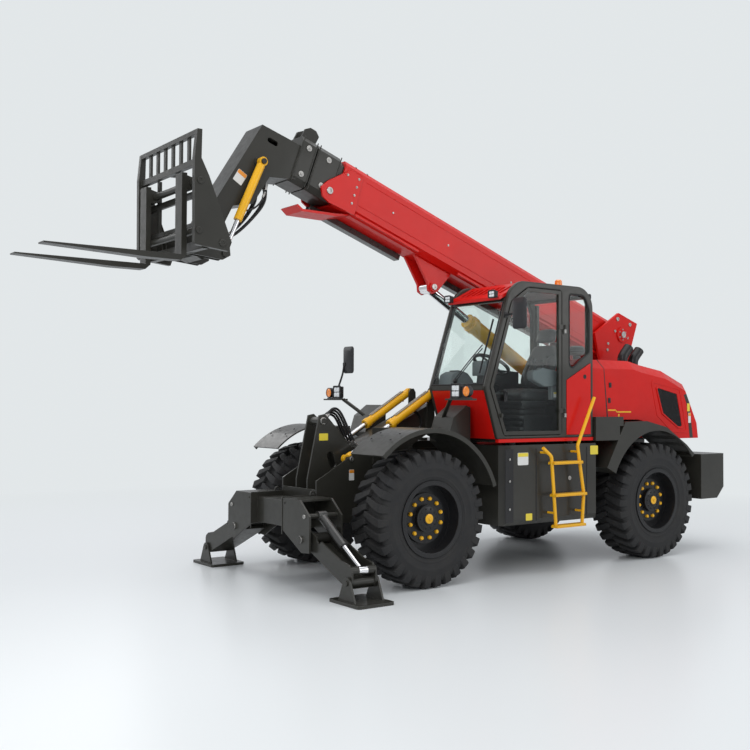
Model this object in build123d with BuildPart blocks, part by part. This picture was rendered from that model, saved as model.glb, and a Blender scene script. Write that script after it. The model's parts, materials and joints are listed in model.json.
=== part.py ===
from build123d import *
from math import atan2, cos, degrees, hypot, radians, sin
import os

os.makedirs("parts", exist_ok=True)

# Telehandler, in millimetres. +X points forward, +Y to the machine's left, +Z up.
# Heights are measured from the floor and lengths from the middle of the wheelbase.
# The origin lies on the floor below the middle of the overall length.

# Wheels and axles
wheelbase = 3300
track = 1920
tyre_diameter = 1300
tyre_width = 440
tread_flat = 340
bead_width = 400
rim_radius = 332
rim_flange_radius = 362
rim_flange = 12
rim_wall = 12
disc_thickness = 20
disc_inset = 150
nut_circle = 380
nut_count = 12
nut_radius = 15
nut_height = 18
hub_radius = 130
hub_depth = 70
drum_radius = 240
spindle_radius = 70
kingpin_spacing = 1580
kingpin_radius = 35
knuckle_height = 200
ear_thickness = 45
ear_width = 170
axle_tube_radius = 90
differential_radius = 200

# Chassis
frame_half_width = 320
frame_plate = 20
frame_front_x = 2400
frame_rear_x = -2490
frame_top = 1250
frame_bottom = 520
axle_arch_top = 780
deck_top = 1340
deck_plate = 20
deck_half_width = 650
beam_top_x = 830
beam_top_z = 1740
beam_foot_x = 1790
beam_foot_z = 1290
beam_depth = 200
beam_half_width = 150
beam_plate = 20

# Counterweight and tow hitch
counterweight_rear_x = -2990
counterweight_half_width = 1150
counterweight_bottom = 620
counterweight_top = 1150
counterweight_chamfer = 190
hitch_depth = 110
hitch_half_width = 110
hitch_plate = 30
hitch_gap = 90
hitch_height = 800
hitch_bore = 20

# Side boxes, ladder and fenders
side_box_front_x = 710
side_box_rear_x = -730
side_box_bottom = 510
side_box_top = 1320
side_box_half_width = 1150
side_box_corner = 90
side_box_wall = 10
cab_mount_radius = 50
ladder_standoff = 100
ladder_y = side_box_half_width + ladder_standoff
ladder_tube = 18
rung_depth = 90
rung_plate = 18
fender_radius = 855
fender_plate = 15
fender_inner_y = 670
fender_outer_y = 1180
fender_lip = 45
rear_arch_radius = 790

# Nose tower and stabilisers
tower_plate_inner = 90
tower_plate_outer = 110
nose_pin_x = 2190
nose_pin_z = 1560
nose_pin_radius = 26
stabiliser_front_x = 2770
stabiliser_plate = 20
stabiliser_top = 845
leg_pivot_y = 630
leg_pivot_z = 486
leg_half_width = 135
leg_plate = 18
leg_pin_radius = 32
leg_swing = 70
leg_notch_gap = 12
foot_pin_y = 1325
foot_pin_z = 185
foot_pin_radius = 24
pad_length = 460
pad_width = 390
pad_thickness = 28
ear_plate = 18
leg_cylinder_base_y = 690
leg_cylinder_base_z = 700
leg_cylinder_eye_y = 1330
leg_cylinder_eye_z = 285
leg_barrel_radius = 42
leg_barrel_length = 440
leg_rod_radius = 25

# Boom
boom_pivot_x = -2150
boom_pivot_z = 2600
boom_angle = 19.5
boom_width = 360
boom_height = 500
boom_top = 130
boom_wall = 12
boom_tail = -250
boom_front = 4400
boom_chamfer = 55
stage_gap = 12
pad_gap = 0.5
pad_ring = 90
stage_2_tail = 900
stage_3_tail = 1150
collar_width = 352
collar_height = 492
collar_2_start = 4460
collar_2_end = 4745
collar_3_start = 4760
collar_3_end = 4940
boom_pin_radius = 55
boom_boss_radius = 105
tower_inner = 215
tower_outer = 250

# Lift cylinder
lift_base_x = -1600
lift_base_z = 1650
lift_eye_s = 2883
lift_eye_t = -600
lift_barrel_radius = 85
lift_barrel_length = 2060
lift_bore = 68
lift_rod_radius = 48
lift_pin_radius = 38
lift_eye_radius = 65
lift_bracket_inner = 70
lift_bracket_plate = 30

# Gooseneck, carriage and forks
gooseneck_half_width = 160
carriage_pivot_x = 3560
carriage_pivot_z = 3140
carriage_pin_radius = 34
tilt_base_x = 2965
tilt_base_z = 4020
tilt_eye_radius_from_pivot = 190
tilt_eye_angle = 190
tilt_y = 216
tilt_barrel_radius = 40
tilt_barrel_length = 640
tilt_rod_radius = 22
carriage_half_width = 620
carriage_plate = 50
fork_spacing = 760
fork_width = 130
fork_thickness = 50
fork_length = 1200
fork_face_x = 3900
fork_top = 3750
fork_heel_z = 2980
fork_bar_radius = 32

# Levelling cylinders beside the sloping beam
level_y = 215
level_top_x = 850
level_top_z = 1865
level_foot_x = 1990
level_foot_z = 1185
level_barrel_radius = 45
level_barrel_length = 690
level_rod_radius = 26
level_pin_radius = 20

# Cab
cab_inner_y = 270
cab_outer_y = 1150
cab_wall = 45
cab_floor_bottom = 1350
cab_floor_top = 1410
cab_rear_x = -600
cab_roof_top = 2990
door_glass = 6

# Hood and right cover
hood_inner_y = 285
hood_outer_y = 1050
hood_wall = 10
hood_chamfer = 100

# Fits: running clearance on pins and rods, and the gap between pieces that move apart
running_gap = 0.3
seat_gap = 0.3
free_gap = 6

# Derived places
axle_z = tyre_diameter / 2
half_base = wheelbase / 2
front_reach = fork_face_x + fork_length
rear_reach = counterweight_rear_x - hitch_depth
origin_x = -(front_reach + rear_reach) / 2
boom_middle = boom_top - boom_height / 2
boom_bottom = boom_top - boom_height


# Sketch planes
def side(y):
    """Plane of the machine's side view at y; extruding goes towards -Y."""
    return Plane(origin=(origin_x, y, 0), x_dir=(1, 0, 0), z_dir=(0, -1, 0))


def level(z):
    """Horizontal plane at z; extruding goes up."""
    return Plane(origin=(origin_x, 0, z))


def face(x):
    """Plane of the machine's front view at x; extruding goes forward."""
    return Plane(origin=(origin_x + x, 0, 0), x_dir=(0, 1, 0), z_dir=(1, 0, 0))


def boom_point(s, t):
    """Side-view place of a point s along the boom and t above its pivot line."""
    a = radians(boom_angle)
    x = boom_pivot_x + s * cos(a) - t * sin(a)
    z = boom_pivot_z + s * sin(a) + t * cos(a)
    return x, z


def boom_side(y):
    """Side plane that is turned with the boom, its x along the boom."""
    a = radians(boom_angle)
    origin = (origin_x + boom_pivot_x, y, boom_pivot_z)
    return Plane(origin=origin, x_dir=(cos(a), 0, sin(a)), z_dir=(0, -1, 0))


def boom_across(s):
    """Plane across the boom at s, its x along +Y; extruding goes along the boom."""
    a = radians(boom_angle)
    x, z = boom_point(s, boom_middle)
    return Plane(origin=(origin_x + x, 0, z), x_dir=(0, 1, 0), z_dir=(cos(a), 0, sin(a)))


def side_line(x, y, z, angle):
    """Plane square to a line that runs at an angle in the side view."""
    a = radians(angle)
    return Plane(origin=(origin_x + x, y, z), x_dir=(0, 1, 0), z_dir=(cos(a), 0, sin(a)))


def front_line(x, y, z, angle):
    """Plane square to a line that runs at an angle in the front view."""
    a = radians(angle)
    return Plane(origin=(origin_x + x, y, z), x_dir=(1, 0, 0), z_dir=(0, cos(a), sin(a)))


def plate(points, y_low, y_high, mode=Mode.ADD, corner=0):
    """Side-view plate between two widths."""
    with BuildSketch(side(y_high)) as outline:
        with BuildLine():
            Polyline(*points, close=True)
        make_face()
        if corner:
            fillet(outline.vertices(), corner)
    extrude(outline.sketch, amount=y_high - y_low, mode=mode)


def front_plate(points, x_low, x_high, mode=Mode.ADD, corner=0):
    """Front-view plate between two lengths."""
    with BuildSketch(face(x_low)) as outline:
        with BuildLine():
            Polyline(*points, close=True)
        make_face()
        if corner:
            fillet(outline.vertices(), corner)
    extrude(outline.sketch, amount=x_high - x_low, mode=mode)


def block(x, y, z, mode=Mode.ADD):
    """Upright block between pairs of limits."""
    with BuildSketch(level(z[0])) as outline:
        with Locations(((x[0] + x[1]) / 2, (y[0] + y[1]) / 2)):
            Rectangle(x[1] - x[0], y[1] - y[0])
    extrude(outline.sketch, amount=z[1] - z[0], mode=mode)


def side_pin(x, z, radius, y_low, y_high, mode=Mode.ADD):
    """Round pin, boss or bore that runs across the machine."""
    with BuildSketch(side(y_high)) as outline:
        with Locations((x, z)):
            Circle(radius)
    extrude(outline.sketch, amount=y_high - y_low, mode=mode)


def long_pin(y, z, radius, x_low, x_high, mode=Mode.ADD):
    """Round pin, boss or bore that runs along the machine."""
    with BuildSketch(face(x_low)) as outline:
        with Locations((y, z)):
            Circle(radius)
    extrude(outline.sketch, amount=x_high - x_low, mode=mode)


def upright_pin(x, y, radius, z_low, z_high, mode=Mode.ADD):
    """Round pin, boss or bore that stands upright."""
    with BuildSketch(level(z_low)) as outline:
        with Locations((x, y)):
            Circle(radius)
    extrude(outline.sketch, amount=z_high - z_low, mode=mode)


def bar(plane, radius, start, end, mode=Mode.ADD):
    """Round bar, boss or bore along a plane's normal, between two distances from it."""
    with BuildSketch(plane.offset(start)) as outline:
        Circle(radius)
    extrude(outline.sketch, amount=end - start, mode=mode)


def boom_plate(points, y_low, y_high, mode=Mode.ADD, corner=0):
    """Side-view plate given along the boom."""
    with BuildSketch(boom_side(y_high)) as outline:
        with BuildLine():
            Polyline(*points, close=True)
        make_face()
        if corner:
            fillet(outline.vertices(), corner)
    extrude(outline.sketch, amount=y_high - y_low, mode=mode)


def boom_pin(s, t, radius, y_low, y_high, mode=Mode.ADD):
    """Round pin, boss or bore across the boom."""
    x, z = boom_point(s, t)
    side_pin(x, z, radius, y_low, y_high, mode)


def boom_tube(width, height, start, end, mode=Mode.ADD):
    """Length of boom section with chamfered lower edges."""
    with BuildSketch(boom_across(start)) as outline:
        Rectangle(width, height)
        chamfer(outline.vertices().group_by(Axis.Z)[0], boom_chamfer)
    extrude(outline.sketch, amount=end - start, mode=mode)


# Chassis: two side plates, arched over the axles, with floor, deck, nose plate and sloping beam
frame_outline = [
    (frame_rear_x, axle_arch_top + 20),
    (frame_rear_x, deck_top - deck_plate),
    (-700, deck_top - deck_plate),
    (-620, frame_top),
    (1965, frame_top - 20),
    (frame_front_x, 985),
    (frame_front_x, 560),
    (half_base + 350, 560),
    (half_base + 250, axle_arch_top),
    (half_base - 250, axle_arch_top),
    (half_base - 350, frame_bottom),
    (350 - half_base, frame_bottom),
    (250 - half_base, axle_arch_top),
    (-half_base - 300, axle_arch_top),
]
frame_inner = frame_half_width - frame_plate
beam_outline = [
    (beam_top_x, beam_top_z),
    (beam_foot_x, beam_foot_z),
    (beam_foot_x, beam_foot_z - beam_depth),
    (1500, beam_foot_z - beam_depth),
    (beam_top_x, beam_top_z - beam_depth - 100),
]
beam_inside = [
    (beam_top_x - 10, beam_top_z - beam_plate),
    (beam_foot_x - 40, beam_foot_z - beam_plate),
    (beam_foot_x - 40, beam_foot_z - beam_depth - 10),
    (beam_top_x - 10, beam_foot_z - beam_depth - 10),
]
with BuildPart() as chassis_frame:
    plate(frame_outline, frame_inner, frame_half_width)
    mirror(about=Plane.XZ)
    block((350 - half_base, half_base - 350), (-frame_inner, frame_inner), (frame_bottom, frame_bottom + frame_plate))
    block((frame_rear_x, -620), (-deck_half_width, deck_half_width), (deck_top - deck_plate, deck_top))
    block((frame_rear_x, frame_rear_x + 30), (-frame_inner, frame_inner), (axle_arch_top + 20, deck_top - deck_plate))
    block((frame_front_x - 30, frame_front_x), (-frame_inner, frame_inner), (560, 900))
    plate(beam_outline, -beam_half_width, beam_half_width)
    plate(beam_inside, beam_plate - beam_half_width, beam_half_width - beam_plate, mode=Mode.SUBTRACT)
    for tie_x in (beam_top_x, beam_foot_x - 60):
        for tie_y in ((beam_half_width, frame_inner), (-frame_inner, -beam_half_width)):
            block((tie_x, tie_x + 60), tie_y, (1100, frame_top - 20))
    upright = [(790, 1500), (905, 1450), (895, 1860), (870, 1900), (830, 1900), (805, 1860)]
    for hand in (-1, 1):
        y_pair = sorted((hand * beam_half_width, hand * (beam_half_width + 16)))
        plate(upright, y_pair[0], y_pair[1])
        y_pair = sorted((hand * beam_half_width, hand * (level_y + 35)))
        side_pin(level_top_x, level_top_z, level_pin_radius, y_pair[0], y_pair[1])
        y_pair = sorted((hand * (level_y - 35), hand * frame_inner))
        side_pin(level_foot_x, level_foot_z, level_pin_radius, y_pair[0], y_pair[1])
    for axle_x in (-half_base, half_base):
        block((axle_x - 120, axle_x - 90), (-frame_inner, frame_inner), (axle_arch_top + 90, axle_arch_top + 200))
        block((axle_x + 90, axle_x + 120), (-frame_inner, frame_inner), (axle_arch_top + 90, axle_arch_top + 200))
chassis_frame.part.label = "chassis_frame"
export_step(chassis_frame.part, "parts/chassis_frame.step")

# Axles: beam, differential and the forked ends that hold the kingpins
kingpin_y = kingpin_spacing / 2
ear_low = axle_z - knuckle_height / 2 - free_gap
ear_high = axle_z + knuckle_height / 2 + free_gap
yoke_inner_y = kingpin_y - ear_width - 20


def axle(axle_x):
    """Steered axle with its kingpins."""
    with BuildPart() as beam:
        with BuildSketch(Plane(origin=(origin_x + axle_x, 0, axle_z), z_dir=(0, 1, 0))) as tube:
            Circle(axle_tube_radius)
        extrude(tube.sketch, amount=yoke_inner_y + 20, both=True)
        with BuildSketch(Plane(origin=(origin_x + axle_x, 0, axle_z), z_dir=(0, 1, 0))) as bulge:
            Circle(differential_radius)
        extrude(bulge.sketch, amount=120, both=True, taper=25)
        for hand in (-1, 1):
            inner = sorted((hand * yoke_inner_y, hand * (yoke_inner_y + 50)))
            ear = sorted((hand * yoke_inner_y, hand * kingpin_y))
            upper = (ear_high, ear_high + ear_thickness)
            lower = (ear_low - ear_thickness, ear_low)
            block((axle_x - ear_width / 2, axle_x + ear_width / 2), inner, (lower[0], upper[1]))
            for z in (upper, lower):
                block((axle_x - ear_width / 2, axle_x + ear_width / 2), ear, z)
                upright_pin(axle_x, hand * kingpin_y, ear_width / 2, z[0], z[1])
                middle = ear_high if z == upper else ear_low
                inward = -60 if z == upper else 60
                z_pair = sorted((middle, middle + inward))
                upright_pin(axle_x, hand * kingpin_y, kingpin_radius, z_pair[0], z_pair[1])
        for hand in (-1, 1):
            y_pair = sorted((hand * (frame_inner - 60), hand * frame_inner))
            block((axle_x - 90, axle_x + 90), y_pair, (axle_z + 60, axle_arch_top))
    return beam.part


with BuildPart() as front_axle:
    add(axle(half_base))
front_axle.part.label = "front_axle"
export_step(front_axle.part, "parts/front_axle.step")

with BuildPart() as rear_axle:
    add(axle(-half_base))
rear_axle.part.label = "rear_axle"
export_step(rear_axle.part, "parts/rear_axle.step")

# Knuckle: block between the ears, bored for the kingpins, with the wheel's spindle
spindle_start = kingpin_y + 100
disc_outer_y = (track + tyre_width) / 2 - disc_inset
disc_inner_y = disc_outer_y - disc_thickness
spindle_end = disc_inner_y - 40


def knuckle(axle_x):
    """Left knuckle."""
    with BuildPart() as body:
        height = (axle_z - knuckle_height / 2, axle_z + knuckle_height / 2)
        upright_pin(axle_x, kingpin_y, 80, height[0], height[1])
        block((axle_x - 80, axle_x + 80), (kingpin_y, spindle_start), height)
        upright_pin(axle_x, kingpin_y, kingpin_radius + running_gap, height[0], height[0] + 60, Mode.SUBTRACT)
        upright_pin(axle_x, kingpin_y, kingpin_radius + running_gap, height[1] - 60, height[1], Mode.SUBTRACT)
        side_pin(axle_x, axle_z, spindle_radius, spindle_start, spindle_end)
    return body.part


# Rim: barrel with two flanges, a dished disc, the hub that turns on the spindle, nuts and cover
rim_centre = track / 2
rim_inner_edge = rim_centre - bead_width / 2 - rim_flange
rim_outer_edge = rim_centre + bead_width / 2 + rim_flange


def rim(axle_x):
    """Left rim."""
    with BuildPart() as wheel:
        side_pin(axle_x, axle_z, rim_radius - seat_gap, rim_inner_edge, rim_outer_edge)
        side_pin(axle_x, axle_z, rim_flange_radius, rim_inner_edge, rim_inner_edge + rim_flange)
        side_pin(axle_x, axle_z, rim_flange_radius, rim_outer_edge - rim_flange, rim_outer_edge)
        side_pin(axle_x, axle_z, rim_radius - rim_wall, rim_inner_edge, rim_outer_edge, Mode.SUBTRACT)
        side_pin(axle_x, axle_z, rim_radius - rim_wall / 2, disc_inner_y, disc_outer_y)
        side_pin(axle_x, axle_z, drum_radius, disc_outer_y, disc_outer_y + 25)
        side_pin(axle_x, axle_z, hub_radius, disc_outer_y, disc_outer_y + hub_depth)
        side_pin(axle_x, axle_z, spindle_radius + 50, spindle_start + 20, disc_inner_y)
        bore = spindle_radius + running_gap
        side_pin(axle_x, axle_z, bore, spindle_start + 20, spindle_end + free_gap, Mode.SUBTRACT)
        for index in range(nut_count):
            a = radians(360 * (index + 0.5) / nut_count)
            x = axle_x + nut_circle / 2 * cos(a)
            z = axle_z + nut_circle / 2 * sin(a)
            side_pin(x, z, nut_radius, disc_outer_y + 25, disc_outer_y + 25 + nut_height)
    return wheel.part


# Tyre: one turned section, from bead to bead
def tyre(axle_x):
    """Left tyre."""
    half_tread = tread_flat / 2
    half_width = tyre_width / 2
    half_bead = bead_width / 2 - seat_gap
    radius = tyre_diameter / 2
    shoulder = radius - 35
    section = Plane(origin=(origin_x + axle_x, rim_centre, axle_z), x_dir=(0, 1, 0), z_dir=(1, 0, 0))
    with BuildPart() as ring:
        with BuildSketch(section) as outline:
            with BuildLine():
                Line((-half_bead, rim_radius), (half_bead, rim_radius))
                Line((half_bead, rim_radius), (half_bead, rim_flange_radius + 4))
                ThreePointArc(
                    (half_bead, rim_flange_radius + 4),
                    (half_width, (rim_flange_radius + shoulder) / 2),
                    (half_width - 12, shoulder),
                )
                Line((half_width - 12, shoulder), (half_tread, radius))
                Line((half_tread, radius), (-half_tread, radius))
                Line((-half_tread, radius), (12 - half_width, shoulder))
                ThreePointArc(
                    (12 - half_width, shoulder),
                    (-half_width, (rim_flange_radius + shoulder) / 2),
                    (-half_bead, rim_flange_radius + 4),
                )
                Line((-half_bead, rim_flange_radius + 4), (-half_bead, rim_radius))
            make_face()
        axis = Axis((origin_x + axle_x, rim_centre, axle_z), (0, 1, 0))
        revolve(outline.sketch, axis=axis)
    return ring.part


for end, axle_x in (("front", half_base), ("rear", -half_base)):
    for kind, make in (("knuckle", knuckle), ("rim", rim), ("tyre", tyre)):
        with BuildPart() as left_piece:
            add(make(axle_x))
        left_piece.part.label = kind + "_" + end + "_left"
        export_step(left_piece.part, "parts/" + kind + "_" + end + "_left.step")
        with BuildPart() as right_piece:
            mirror(left_piece.part, about=Plane.XZ)
        right_piece.part.label = kind + "_" + end + "_right"
        export_step(right_piece.part, "parts/" + kind + "_" + end + "_right.step")

# Counterweight with chamfered lower rear edge, and the tow hitch behind it
counterweight_outline = [
    (frame_rear_x, counterweight_bottom),
    (counterweight_rear_x + counterweight_chamfer, counterweight_bottom),
    (counterweight_rear_x, counterweight_bottom + counterweight_chamfer),
    (counterweight_rear_x, counterweight_top),
    (frame_rear_x, counterweight_top),
]
hitch_z = (hitch_height - hitch_gap / 2, hitch_height + hitch_gap / 2)
hitch_bore_x = counterweight_rear_x - hitch_depth / 2
with BuildPart() as counterweight:
    plate(counterweight_outline, -counterweight_half_width, counterweight_half_width)
    upright = counterweight.edges().filter_by(Axis.Z).group_by(Axis.X)[0]
    chamfer(upright, 60)
    hitch_x = (rear_reach, counterweight_rear_x + counterweight_chamfer)
    hitch_y = (-hitch_half_width, hitch_half_width)
    block(hitch_x, hitch_y, (hitch_z[0] - hitch_plate, hitch_z[0]))
    block(hitch_x, hitch_y, (hitch_z[1], hitch_z[1] + hitch_plate))
    upright_pin(hitch_bore_x, 0, hitch_bore, hitch_z[0] - hitch_plate, hitch_z[1] + hitch_plate, Mode.SUBTRACT)
counterweight.part.label = "counterweight"
export_step(counterweight.part, "parts/counterweight.step")

# Side boxes between the wheels, with the round mounts that carry the cab
cab_mount_x = (-380, 480)
cab_mount_y = (420, 1000)
with BuildPart() as side_boxes:
    side_x = (side_box_rear_x, side_box_front_x)
    side_y = (frame_half_width, side_box_half_width)
    block(side_x, side_y, (side_box_bottom, side_box_top))
    chamfer(side_boxes.edges().filter_by(Axis.Z).group_by(Axis.Y)[-1], side_box_corner)
    chamfer(side_boxes.faces().sort_by(Axis.Z)[0].edges().sort_by(Axis.Y)[-1], 60)
    wall = side_box_wall
    cavity_x = (side_box_rear_x + side_box_corner, side_box_front_x - side_box_corner)
    cavity_y = (frame_half_width + wall, side_box_half_width - side_box_corner)
    block(cavity_x, cavity_y, (side_box_bottom + wall, side_box_top - wall), mode=Mode.SUBTRACT)
    for mount_x in cab_mount_x:
        for mount_y in cab_mount_y:
            upright_pin(mount_x, mount_y, cab_mount_radius, side_box_top, cab_floor_bottom)
    mirror(about=Plane.XZ)
side_boxes.part.label = "side_boxes"
export_step(side_boxes.part, "parts/side_boxes.step")

# Access ladder: two bent tubes, three treads and the brackets to the side box
left_rail = [(268, 1290), (145, 1203), (80, 481)]
right_rail = [(-504, 1810), (-243, 1304), (-336, 805), (-310, 470)]
tread_heights = (480, 800, 1130)


def rail_x(rail, z):
    """Place of a rail at a height."""
    for upper, lower in zip(rail, rail[1:]):
        if lower[1] <= z <= upper[1]:
            share = (z - lower[1]) / (upper[1] - lower[1])
            return lower[0] + share * (upper[0] - lower[0])
    return rail[-1][0]


with BuildPart() as ladder:
    for rail in (left_rail, right_rail):
        points = [(origin_x + x, ladder_y, z) for x, z in rail]
        with BuildLine() as path:
            FilletPolyline(*points, radius=60)
        with BuildSketch(Plane(origin=path.line @ 0, z_dir=path.line % 0)) as tube:
            Circle(ladder_tube)
        sweep(tube.sketch, path=path.line)
    for tread_z in tread_heights:
        x_pair = (rail_x(right_rail, tread_z), rail_x(left_rail, tread_z))
        y_pair = (ladder_y - rung_depth / 2, ladder_y + rung_depth / 2)
        block(x_pair, y_pair, (tread_z, tread_z + rung_plate))
    for rail, bracket_z in ((left_rail, 1240), (right_rail, 1240), (left_rail, 620), (right_rail, 620)):
        side_pin(rail_x(rail, bracket_z), bracket_z, 12, side_box_half_width, ladder_y)
ladder.part.label = "ladder"
export_step(ladder.part, "parts/ladder.step")

# Front fender: rolled arc over the wheel with a turned outer lip and a bracket to the side plate.
# A cowl stands on its inner half, and carries a stalk with the lamps' tray.
fender_start = 45.6
fender_sweep = 115
bracket_x = (1560, 1740)
cowl_y = (560, 860)
cowl_outline = [(905, 1100), (905, 1700), (960, 1720), (1130, 1600), (1190, 1420), (1190, 1350)]
stalk_foot = (1090, 640, 1570)
stalk_head = (1230, 930, 1778)
stalk_radius = 20
tray_x = (1190, 1275)
tray_y = (900, 1270)
tray_z = (1770, 1786.7)
with BuildPart() as front_fenders:
    plate(cowl_outline, cowl_y[0], cowl_y[1])
    side_pin(half_base, axle_z, fender_radius - fender_plate, cowl_y[0], cowl_y[1], Mode.SUBTRACT)
    stalk_run = Vector(*stalk_head) - Vector(*stalk_foot)
    stalk_line = Plane(origin=Vector(origin_x, 0, 0) + Vector(*stalk_foot), z_dir=stalk_run)
    bar(stalk_line, stalk_radius, 0, stalk_run.length)
    block(tray_x, tray_y, tray_z)
    with BuildSketch(side(fender_outer_y)) as shell:
        with BuildLine():
            middle = (half_base, axle_z)
            outer = CenterArc(middle, fender_radius, fender_start, fender_sweep)
            inner = CenterArc(middle, fender_radius - fender_plate, fender_start, fender_sweep)
            Line(outer @ 0, inner @ 0)
            Line(outer @ 1, inner @ 1)
        make_face()
    extrude(shell.sketch, amount=fender_outer_y - fender_inner_y)
    with BuildSketch(side(fender_outer_y)) as lip:
        with BuildLine():
            outer = CenterArc(middle, fender_radius, fender_start, fender_sweep)
            inner = CenterArc(middle, fender_radius - fender_lip, fender_start, fender_sweep)
            Line(outer @ 0, inner @ 0)
            Line(outer @ 1, inner @ 1)
        make_face()
    extrude(lip.sketch, amount=fender_plate)
    arch_z = axle_z + fender_radius - fender_plate
    bracket = [
        (frame_half_width, frame_top - 120),
        (frame_half_width + 20, frame_top - 120),
        (frame_half_width + 20, arch_z - 60),
        (fender_inner_y + 40, arch_z - 25),
        (fender_inner_y + 40, arch_z + 5),
        (frame_half_width, arch_z + 5),
    ]
    front_plate(bracket, bracket_x[0], bracket_x[1])
    mirror(about=Plane.XZ)
front_fenders.part.label = "front_fenders"
export_step(front_fenders.part, "parts/front_fenders.step")

# Rear fender: folded plates over the wheel, with the step box in front of it
rear_fender_outline = [
    (-792, 1050),
    (-1095, 1544),
    (-1461, 1550),
    (-1814, 1478),
    (-2181, 1270),
    (-2324, 1158),
]
with BuildPart() as rear_fenders:
    with BuildSketch(side(fender_outer_y)) as fold:
        with BuildLine():
            Polyline(*rear_fender_outline, (-half_base, axle_z), close=True)
        make_face()
        with Locations((-half_base, axle_z)):
            Circle(rear_arch_radius, mode=Mode.SUBTRACT)
    extrude(fold.sketch, amount=fender_outer_y - fender_inner_y)
    with BuildSketch(side(fender_outer_y - fender_plate)) as hollow:
        with BuildLine():
            Polyline(*rear_fender_outline, (-half_base, axle_z), close=True)
        make_face()
        offset(amount=-fender_plate)
    extrude(hollow.sketch, amount=fender_outer_y - fender_inner_y, mode=Mode.SUBTRACT)
    block((-1000, -610), (hood_outer_y + free_gap, fender_outer_y), (1345, 1600))
    block((-1060, -1000), (hood_outer_y + free_gap, fender_outer_y), (1500, 1600))
    block((-half_base - 90, 90 - half_base), (deck_half_width, fender_inner_y), (deck_top - 5, 1500))
    mirror(about=Plane.XZ)
rear_fenders.part.label = "rear_fenders"
export_step(rear_fenders.part, "parts/rear_fenders.step")

# Nose tower: two leaning plates on a base plate, joined by the pin tube at their top
tower_plate = [
    (1800, 1250),
    (nose_pin_x - 75, nose_pin_z + 20),
    (nose_pin_x - 20, nose_pin_z + 68),
    (nose_pin_x + 45, nose_pin_z + 55),
    (2370, 985),
    (2370, 720),
    (1860, 720),
    (1800, 1000),
]
with BuildPart() as nose_tower:
    plate(tower_plate, tower_plate_inner, tower_plate_outer)
    mirror(about=Plane.XZ)
    block((1860, 2370), (-frame_inner, frame_inner), (700, 720))
    side_pin(nose_pin_x, nose_pin_z, nose_pin_radius + 14, -tower_plate_inner, tower_plate_inner)
    side_pin(nose_pin_x, nose_pin_z, nose_pin_radius, -tower_plate_outer - 25, tower_plate_outer + 25)
    with BuildSketch(side(tower_plate_outer)) as slot:
        with Locations((2085, 1170)):
            SlotOverall(170, 80, rotation=70)
    extrude(slot.sketch, amount=2 * tower_plate_outer, mode=Mode.SUBTRACT)
nose_tower.part.label = "nose_tower"
export_step(nose_tower.part, "parts/nose_tower.step")

# Stabiliser housing: two boxes, open outboard and below, on a beam across the nose
housing_outline = [(290, 845), (600, 845), (770, 705), (770, 375), (640, 365), (300, 545)]
housing_rear_x = frame_front_x
housing_front = (stabiliser_front_x - stabiliser_plate, stabiliser_front_x)
inside_x = (housing_rear_x + stabiliser_plate, stabiliser_front_x - stabiliser_plate)
with BuildPart() as stabiliser_box:
    front_plate(housing_outline, housing_rear_x, stabiliser_front_x)
    block(inside_x, (310, 900), (200, stabiliser_top - stabiliser_plate), mode=Mode.SUBTRACT)
    block(inside_x, (600, 900), (200, 900), mode=Mode.SUBTRACT)
    block((housing_rear_x, 2700), (0, 300), (560, 805))
    long_pin(leg_pivot_y, leg_pivot_z, leg_pin_radius, housing_rear_x, stabiliser_front_x + 25)
    long_pin(leg_cylinder_base_y, leg_cylinder_base_z, foot_pin_radius, housing_rear_x, stabiliser_front_x)
    mirror(about=Plane.XZ)
stabiliser_box.part.label = "stabiliser_box"
export_step(stabiliser_box.part, "parts/stabiliser_box.step")

# Stabiliser leg: open channel between the pivot and the foot pin
leg_middle_x = (housing_rear_x + stabiliser_front_x) / 2
leg_reach = hypot(foot_pin_y - leg_pivot_y, foot_pin_z - leg_pivot_z)
leg_slope = degrees(atan2(foot_pin_z - leg_pivot_z, foot_pin_y - leg_pivot_y))
leg_x = (leg_middle_x - leg_half_width, leg_middle_x + leg_half_width)


def leg_point(u, v):
    """Front-view place of a point u along the leg and v above its pin line."""
    a = radians(leg_slope)
    return leg_pivot_y + u * cos(a) - v * sin(a), leg_pivot_z + u * sin(a) + v * cos(a)


leg_outline = [
    (-62, -62),
    (-62, 60),
    (0, 105),
    (560, 110),
    (690, 140),
    (760, 110),
    (leg_reach + 45, 20),
    (leg_reach + 45, -35),
    (leg_reach, -58),
    (560, -62),
]
leg_inside = [(-90, -37), (-90, 200), (leg_reach + 60, 200), (leg_reach + 60, -37)]
eye_y, eye_z = leg_cylinder_eye_y, leg_cylinder_eye_z
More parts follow.
